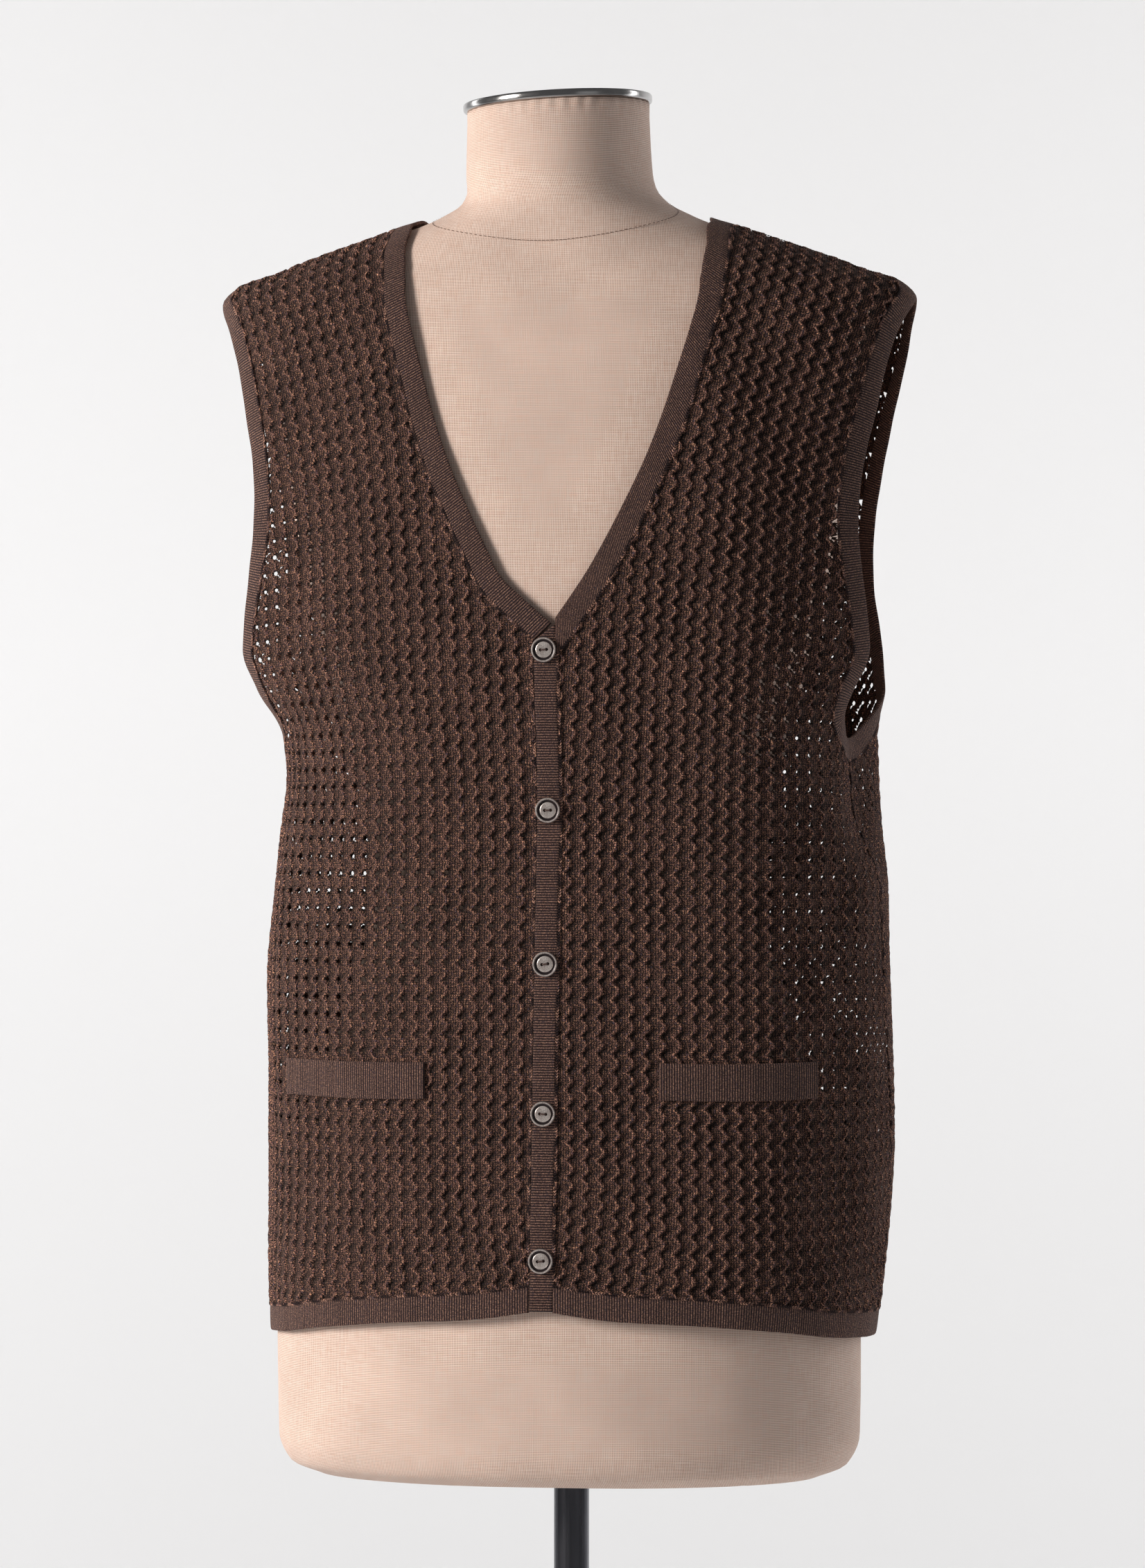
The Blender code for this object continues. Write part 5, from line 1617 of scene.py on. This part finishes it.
    def _linking(self) -> None:
        """The chains of linking stitches along the seams, as small joined loops."""
        lines = []
        for side in (-1, 1):
            front, back = self.cut.arm_stations(side)
            lines.append(np.vstack([front[1], back[1][::-1][1:]]))
            neck_front, neck_back = self.cut.neck_stations(side)
            lines.append(np.vstack([neck_front[1], neck_back[1][1:]]))
            lines.append(self.cut.side_seam(side, np.linspace(*self.side_seam_z, 90)))
            z = np.linspace(self.placket_seam_from, self.cut.corner_z(side), 90)
            lines.append(self.cut.placket_edge(z, side, 0.9 * MM))
            arm_top, neck_top = front[1][-1], neck_front[1][-1]
            ridge = np.linspace(0, 1, 40)[:, None]
            lines.append(arm_top * (1 - ridge) + neck_top * ridge)
        angle = np.linspace(-math.pi, math.pi, 500)
        lines.append(np.stack([angle, self.cut.hem_seam_z(angle)], axis=-1))
        piece = ChainStitch(self.cloth, lines).build("linking_stitches")
        settle(piece, self.rib, Slot.RIB)


@dataclass
class ChainStitch:
    """Rows of small slanting loops that lie over a seam."""

    cloth: Envelope
    lines: list[Array]
    pitch: float = 1.7 * MM
    length: float = 1.9 * MM
    thick: float = 0.42 * MM
    rise: float = 0.35 * MM
    slant: float = math.radians(34.0)
    look_ahead: float = 0.5 * MM

    def build(self, name: str) -> Piece:
        """Makes every loop as a small grain and joins them."""
        grain, grain_faces = self._grain()
        points, faces, uvs = [], [], []
        start = 0
        for line in self.lines:
            run = self.cloth.lengths(line)
            stations = np.arange(self.pitch / 2, run[-1], self.pitch)
            spots, ahead = (at_runs(line, run, stations + step) for step in (0.0, self.look_ahead))
            at, out = self.cloth.on_curve(spots)
            along = self.cloth.place(*ahead.T) - at
            along /= np.maximum(np.linalg.norm(along, axis=1, keepdims=True), 1e-9)
            aside = np.cross(out, along)
            for hand in (-1, 1):
                axis = along * math.cos(self.slant) + aside * math.sin(self.slant) * hand
                centre = at + out * self.rise + aside * hand * self.thick
                points.append(scattered(centre, (axis, np.cross(out, axis), out), grain))
                faces.append((grain_faces[None] + start + number_each(stations, grain)).reshape(-1, 4))
                spread = np.stack([stations, np.full(len(stations), hand * MM)], axis=-1)
                uvs.append(np.repeat(spread, len(grain), axis=0))
                start += len(stations) * len(grain)
        return mesh_from(name, np.vstack(points), np.vstack(faces), np.vstack(uvs))

    def _grain(self) -> tuple[Array, Array]:
        """A grain about its own long axis: three rings of five."""
        rings, sides = 3, 5
        share = np.linspace(-1, 1, rings)
        girth = np.sqrt(np.clip(1 - share**2 * 0.92, 0, 1)) * self.thick
        points = ring_points(girth, share * self.length / 2, sides)[:, [2, 0, 1]]
        return points, cells(rings, sides, closed=True)


@dataclass
class Buttons:
    """Five two-hole buttons with raised rims, each sewn on by a bar of thread."""

    cloth: Envelope
    cut: Cut
    resin: Material
    thread: Material
    lift: float = 0.9 * MM
    hole_pitch: float = 3.6 * MM
    hole_radius: float = 0.95 * MM
    # The strands of thread: radius, rise over the face, depth in the hole, space between, and stray.
    strand_radius: float = 0.22 * MM
    strand_rise: float = 0.42 * MM
    strand_sink: float = 0.9 * MM
    strand_apart: float = 0.34 * MM
    strand_stray: float = 0.02 * MM
    sharp_from: float = math.radians(38)
    # How each button is turned about its own axis, in degrees.
    turns: tuple[float, ...] = (4, 2, 8, -3, 6)
    steps: int = 64
    # The turned section from the middle of the face to the middle of the back: radius, height, in mm.
    section: tuple[tuple[float, float], ...] = (
        (0.0, 1.86), (4.20, 1.86), (4.62, 1.80), (4.82, 1.60), (4.95, 1.25), (5.20, 1.10), (5.80, 1.10),
        (6.10, 1.25), (6.25, 1.80), (6.36, 2.45), (6.55, 2.76), (6.85, 2.86), (7.15, 2.76),
        (7.38, 2.40), (7.50, 1.70), (7.46, 1.10), (7.20, 0.55), (6.70, 0.20), (6.10, 0.05), (0.0, 0.05),
    )

    def build(self) -> None:
        """Builds every button with its thread."""
        for number, height in enumerate(BUTTON_HEIGHTS, start=1):
            place = self._place(height, number)
            button = self._turned(f"turned_button_{number}")
            button.matrix_world = place
            settle(button, self.resin, Slot.BUTTON, f"button_{number}")
            sewn = self._sewn(f"button_thread_{number}", number)
            sewn.matrix_world = place
            settle(sewn, self.thread, Slot.RIB)
        log.info("buttons: %d", len(BUTTON_HEIGHTS))

    def _place(self, height: float, number: int) -> Matrix:
        """Where a button sits on the placket; each is turned a little differently."""
        z = np.array([height])
        angle = self.cloth.angle_at_x(self.cut.placket.at(z), z)
        out = Vector(self.cloth.normal(angle, z)[0])
        seat = Vector(self.cloth.place(angle, z)[0]) + out * self.lift
        level = out.cross(Vector((0, 0, 1))).normalized() * -1
        frame = Matrix((level, out.cross(level), out)).transposed().to_4x4()
        turn = Matrix.Rotation(math.radians(self.turns[number - 1]), 4, "Z")
        return Matrix.Translation(seat) @ frame @ turn

    def _turned(self, name: str) -> Piece:
        """One button, turned and drilled."""
        radii, heights = np.array(self.section[1:-1]).T * MM
        points = ring_points(radii, heights, self.steps)
        faces = capped(cells(len(radii), self.steps, closed=True)[:, ::-1], len(radii), self.steps)
        button = mesh_from(name, points, faces)
        for x in (-self.hole_pitch / 2, self.hole_pitch / 2):
            self._drill(button, x)
        button.data.set_sharp_from_angle(angle=self.sharp_from)
        return button

    def _drill(self, button: Piece, x: float) -> None:
        """Cuts one hole through a button."""
        size = {"vertices": 24, "radius": self.hole_radius, "depth": 12 * MM}
        bpy.ops.mesh.primitive_cylinder_add(location=(x, 0, 0), **size)
        drill = bpy.context.object
        cut = button.modifiers.new("hole", "BOOLEAN")
        cut.object = drill
        cut.solver = "EXACT"
        cut.operation = "DIFFERENCE"
        graph = bpy.context.evaluated_depsgraph_get()
        drilled = bpy.data.meshes.new_from_object(button.evaluated_get(graph))
        button.modifiers.clear()
        button.data = drilled
        bpy.data.objects.remove(drill, do_unlink=True)

    def _sewn(self, name: str, number: int) -> Piece:
        """Three strands that rise out of one hole, cross the face and go down the other."""
        points, faces = [], []
        sides, steps = 6, 14
        turn = np.arange(sides) / sides * FULL_TURN
        share = np.linspace(-1, 1, steps)
        x = np.repeat(share * self.hole_pitch / 2, sides)
        sunk = self.strand_sink * (np.abs(share) > 0.97)
        arch = self.strand_rise * np.sqrt(np.clip(1 - np.abs(share) ** 3, 0, 1))
        rise = self.section[0][1] * MM + arch - sunk
        rng = np.random.default_rng(number)
        for strand in (-1, 0, 1):
            spread = strand * self.strand_apart * (1 - 0.4 * np.abs(share))
            y = spread + rng.normal(0, self.strand_stray, steps)
            sideways, upward = (
                (middle[:, None] + self.strand_radius * wave).ravel()
                for middle, wave in ((y, np.cos(turn)), (rise, np.sin(turn)))
            )
            faces.append(cells(steps, sides, closed=True) + len(points) * steps * sides)
            points.append(np.stack([x, sideways, upward], axis=-1))
        return mesh_from(name, np.vstack(points), np.vstack(faces))


# ---------------- the form and its stand


@dataclass
class DressForm:
    """The linen-covered form: its torso, the seams of its cover, the neck cap, the pole and the base."""

    cloth: Envelope
    linen: Material
    thread: Material
    rows: int = 230
    columns: int = 288
    cap_roll: float = math.radians(3.2)
    cap_gap: float = 0.3 * MM
    top_z: float = 1.4905
    lean_from_z: float = 1.452
    # The seam round the neck: mean height, dip in front, and tilt to the side.
    neck_seam: tuple[float, float, float] = (1.4290, 0.0245, 0.0022)
    groove_half: float = 0.9 * MM
    groove_depth: float = 0.30 * MM
    seams_to_z: float = 1.40
    # Gathers under the cap, and how far the padding rises and falls.
    gather: float = 0.45 * MM
    gathers_from_z: float = 1.4835
    softness: float = 0.25 * MM
    neck_radius: float = 0.062
    stitch_pitch: float = 2.4 * MM
    stitch_half: float = 0.85 * MM
    stitch_radius: float = 0.16 * MM
    stitch_rise: float = 0.08 * MM
    # The cap's section, in mm: radius and height of each ring, from beneath.
    cap_rings: tuple[tuple[float, float], ...] = (
        (56.4, 0.0), (57.3, 0.35), (57.7, 1.2), (57.7, 3.8), (57.3, 4.6), (56.6, 4.9), (55.4, 5.0),
        (40.0, 5.0),
    )
    cap_steps: int = 144
    # Seams of the cover: angle at the hip, at the waist and at the chest, in degrees, and those heights.
    seam_levels: tuple[float, float, float] = (0.66, 1.0, 1.25)
    seams: tuple[tuple[float, float, float], ...] = (
        (-57.0, -50.0, -56.0),
        (61.0, 52.0, 58.0),
        (-92.0, -92.0, -92.0),
        (92.0, 92.0, 92.0),
        (180.0, 180.0, 180.0),
        (-138.0, -140.0, -140.0),
        (138.0, 140.0, 140.0),
    )

    def build(self) -> None:
        """Builds the torso with its seams, the stitches round its neck, and the cap."""
        self._torso()
        self._stitches()
        self._cap()

    def _seam_angle(self, seam: tuple[float, float, float], z: Array) -> Array:
        """The angle of a seam at each height, in radians."""
        return np.radians(np.interp(z, self.seam_levels, seam))

    def _neck_seam_z(self, angle: Array) -> Array:
        """The height of the seam round the foot of the neck; it dips in front."""
        middle, dip, tilt = self.neck_seam
        return middle - dip * np.cos(angle) + tilt * np.sin(angle)

    def _tilt(self, points: Array, z: Array) -> Array:
        """Leans the neck as the solid does."""
        points[..., 0] += self.cloth.lean.at(z)
        share = smooth_step((z - self.lean_from_z) / (self.top_z - self.lean_from_z))
        points[..., 2] += points[..., 0] * math.tan(self.cap_roll) * share
        return points

    def _levels(self) -> Array:
        """Heights with about even steps along the surface."""
        z = np.linspace(FORM_RINGS[0][0], self.top_z, 4000)
        side = self.cloth.place(np.full(z.shape, math.radians(75)), z, on_form=True)
        run = np.concatenate([[0], np.cumsum(np.linalg.norm(np.diff(side, axis=0), axis=1))])
        return np.interp(np.linspace(0, run[-1], self.rows), run, z)

    def _torso(self) -> None:
        """The torso's skin, with a shallow groove at each seam and small gathers under the cap."""
        levels = self._levels()
        # The cover closes at centre back, and its threads are counted from centre front.
        angles = np.linspace(-math.pi, math.pi, self.columns + 1)
        angle, z = np.meshgrid(angles, levels)
        points = self.cloth.place(angle, z, on_form=True)
        out = self.cloth.normal(angle, z, on_form=True)
        radius = self.cloth.form_radius(angle, z)
        groove = np.zeros_like(z)
        for seam in self.seams:
            away = ((angle - self._seam_angle(seam, z) + math.pi) % FULL_TURN - math.pi) * radius
            below_neck = smooth_step((self.seams_to_z - z) / 0.02)
            groove += np.exp(-((away / self.groove_half) ** 2)) * below_neck
        ring = (z - self._neck_seam_z(angle)) / self.groove_half
        groove += np.exp(-(ring**2))
        gathers = smooth_step((z - self.gathers_from_z) / 0.006) * np.sin(angle * 41) * self.gather
        soft = self.softness * np.sin(angle * 5 + z * 31) * np.sin(z * 23 + 1.0)
        points += out * (-self.groove_depth * groove + gathers + soft - self.softness)[..., None]
        points = self._tilt(points, z)
        steps = np.linalg.norm(np.diff(points, axis=1), axis=-1)
        u = np.concatenate([np.zeros((len(levels), 1)), np.cumsum(steps, axis=1)], axis=1)
        u -= u[:, self.columns // 2][:, None]
        rise = np.linalg.norm(np.diff(points, axis=0), axis=-1).mean(axis=1)
        v = np.broadcast_to(np.concatenate([[0], np.cumsum(rise)])[:, None], u.shape)
        rows, columns = angle.shape
        faces = cells(rows, columns).tolist()
        faces.append(list(range(columns - 1))[::-1])
        faces.append([(rows - 1) * columns + k for k in range(columns - 1)])
        uvs = np.stack([u.ravel(), v.ravel()], axis=-1)
        piece = mesh_from("linen_torso", points.reshape(-1, 3), faces, uvs)
        settle(piece, self.linen, Slot.LINEN, "form_torso")
        log.info("linen_torso: %d faces", len(faces))

    def _stitches(self) -> None:
        """Running stitches in the seam round the neck."""
        angle = np.arange(0, FULL_TURN, self.stitch_pitch / self.neck_radius)
        height = self._neck_seam_z(angle) + 0.5 * MM
        at = self.cloth.place(angle, height, on_form=True)
        out = self.cloth.normal(angle, height, on_form=True)
        up = self.cloth.place(angle, height + self.cloth.small, on_form=True) - at
        up /= np.linalg.norm(up, axis=1, keepdims=True)
        along = np.cross(out, up)
        # A stitch is three square rings: its ends dip into the cloth.
        square = ((-1, -1), (1, -1), (1, 1), (-1, 1))
        thick = self.stitch_radius
        rise = {a: self.stitch_rise * (1 - abs(a) * 0.9) for a in (-1, 0, 1)}
        grain = np.array(
            [(a * self.stitch_half, b * thick, rise[a] + c * thick) for a in rise for b, c in square]
        )
        points = scattered(self._tilt(at, height), (along, np.cross(out, along), out), grain)
        faces = (cells(3, 4, closed=True)[None] + number_each(angle, grain)).reshape(-1, 4)
        piece = mesh_from("form_seam_stitches", points, faces)
        settle(piece, self.thread, Slot.LINEN)

    def _cap(self) -> None:
        """The spun steel cap, a disc with a rolled edge that leans as the neck does."""
        radii, heights = np.array(self.cap_rings).T * MM
        points = ring_points(radii, heights, self.cap_steps)
        rows = len(self.cap_rings)
        faces = capped(cells(rows, self.cap_steps, closed=True), rows, self.cap_steps, flipped=True)
        cap = mesh_from("spun_cap", points, faces)
        lean = float(self.cloth.lean.at(np.array([self.top_z]))[0])
        back = float(self.cloth.centre.at(np.array([self.top_z]))[0])
        tilt = Matrix.Rotation(-self.cap_roll, 4, "Y")
        seat = Vector((lean, back, self.top_z + lean * math.tan(self.cap_roll)))
        cap.matrix_world = Matrix.Translation(seat + tilt @ Vector((0, 0, self.cap_gap))) @ tilt
        steel = Metal("polished_steel", "#a9a7a6", 0.20, 1.0, 6.0, 0.05).make()
        settle(cap, steel, Slot.CAP, "form_neck_cap")

    @staticmethod
    def dress_stand(nodes: dict[str, Piece]) -> None:
        """Gives the pole and the base, which keep their CAD shapes, their real finishes."""
        finishes = {
            "stand_pole": Metal("blued_steel_tube", "#5d5d62", 0.24, 1.0, 2.5, 0.06, (1.0, 1.0, 0.05)),
            "stand_base": Metal("satin_black_paint", "#26272a", 0.42, 0.0, 0.8, 0.06, coat=0.2),
        }
        for name, finish in finishes.items():
            made = finish.make()
            for slot in nodes[name].material_slots:
                slot.material = made


# ---------------- the studio


@dataclass
class Studio:
    """A seamless pale sweep, soft light from the left and the camera."""

    turn: float = math.radians(8.0)
    distance: float = 3.8
    height: float = 1.078
    lens: float = 142.06
    aside: float = 0.0006
    sweep: str = "#f1f1f2"
    shade: str = "#efeff0"
    # The sweep: where its floor begins, where its wall stands, its bend, its half width and its height.
    front: float = -9.0
    wall: float = 3.4
    bend: float = 1.2
    half_width: float = 6.0
    tall: float = 4.5

    def build(self) -> None:
        """Builds the sweep, the lights and the camera."""
        self._camera()
        self._sweep()
        self._lights()

    def _camera(self) -> None:
        """A level camera, a little to the wearer's left of the front."""
        data = bpy.data.cameras.new("camera")
        data.lens, data.sensor_width, data.clip_end = self.lens, 36.0, 50.0
        camera = bpy.data.objects.new("camera", data)
        bpy.context.scene.collection.objects.link(camera)
        right = Vector((math.cos(self.turn), math.sin(self.turn), 0))
        back = Vector((math.sin(self.turn), -math.cos(self.turn), 0))
        camera.location = back * self.distance + right * self.aside + Vector((0, 0, self.height))
        camera.rotation_euler = (math.radians(90), 0, self.turn)
        bpy.context.scene.camera = camera

    def _sweep(self) -> None:
        """The floor, curving up into a backdrop."""
        bend, wall, half, tall = self.bend, self.wall, self.half_width, self.tall
        turned = np.radians(np.linspace(7.5, 90, 12))
        curve = [(wall - bend + bend * math.sin(a), bend - bend * math.cos(a)) for a in turned]
        profile = [(self.front, 0.0), (wall - bend, 0.0), *curve, (wall, tall)]
        points = [(x, y, z) for y, z in profile for x in (-half, half)]
        sweep = mesh_from("sweep", np.array(points), cells(len(profile), 2))
        made, tree, shader = begun("matt_paper")
        grain = add(tree, "TexNoise", inputs={"Scale": 3.0, "Detail": 2.0})
        feed(tree, shader, {"Base Color": mixed(tree, grain, self.shade, self.sweep), "Roughness": 0.95})
        sweep.data.materials.append(made)

    @staticmethod
    def _light(
        name: str,
        place: tuple[float, float, float],
        aim: tuple[float, float, float],
        size: tuple[float, float],
        power: float,
        colour: str = "#ffffff",
    ) -> None:
        """One rectangular soft light.

        Args:
            name: its name.
            place: where it stands.
            aim: what it points at.
            size: its width and height.
            power: in watts.
            colour: as sRGB hex.
        """
        data = bpy.data.lights.new(name, "AREA")
        data.shape = "RECTANGLE"
        data.size, data.size_y = size
        data.energy = power
        data.color = linear(colour)[:3]
        light = bpy.data.objects.new(name, data)
        bpy.context.scene.collection.objects.link(light)
        light.location = place
        light.rotation_euler = (Vector(aim) - Vector(place)).to_track_quat("-Z", "Y").to_euler()

    def _lights(self) -> None:
        """The key from the left, a weak fill, and two lights on the backdrop."""
        self._light("key", (-2.35, -1.75, 1.85), (0.0, 0.0, 1.12), (0.8, 1.2), 88.0, "#fffaf4")
        self._light("fill", (2.6, -2.6, 1.4), (0.0, 0.0, 1.1), (1.6, 2.0), 2.5)
        self._light("backdrop_left", (-2.6, 1.2, 1.7), (-0.2, 3.3, 0.9), (1.2, 2.4), 37.0)
        self._light("backdrop_right", (2.6, 1.2, 1.7), (0.4, 3.3, 0.9), (1.2, 2.4), 52.0)
        world = bpy.data.worlds.new("studio")
        world.use_nodes = True
        glow = world.node_tree.nodes["Background"]
        feed(world.node_tree, glow, {"Color": linear("#f4f5f7"), "Strength": 0.14})
        bpy.context.scene.world = world
        bpy.context.scene.view_settings.view_transform = "Standard"


def main() -> None:
    """Builds every piece in order."""
    logging.basicConfig(level=logging.INFO, format="%(name)s: %(message)s")
    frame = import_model()
    studio = Studio()
    studio.build()
    cloth = Envelope()
    cut = Cut(cloth)
    yarn = SpunThread("brown_sewing_thread", "#5b4038", "#3a2925").make()
    pale = SpunThread("grey_brown_thread", "#8f7362", "#6f5546").make()
    form = DressForm(cloth, UnbleachedLinen().make(), pale)
    form.build()
    form.dress_stand(frame["nodes"])
    Cardigan(cloth, cut, OPEN_KNIT.make(), FINE_RIB.make(), yarn).build()
    Buttons(cloth, cut, PearlResin().make(), yarn).build()
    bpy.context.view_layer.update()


if __name__ == "__main__":
    main()
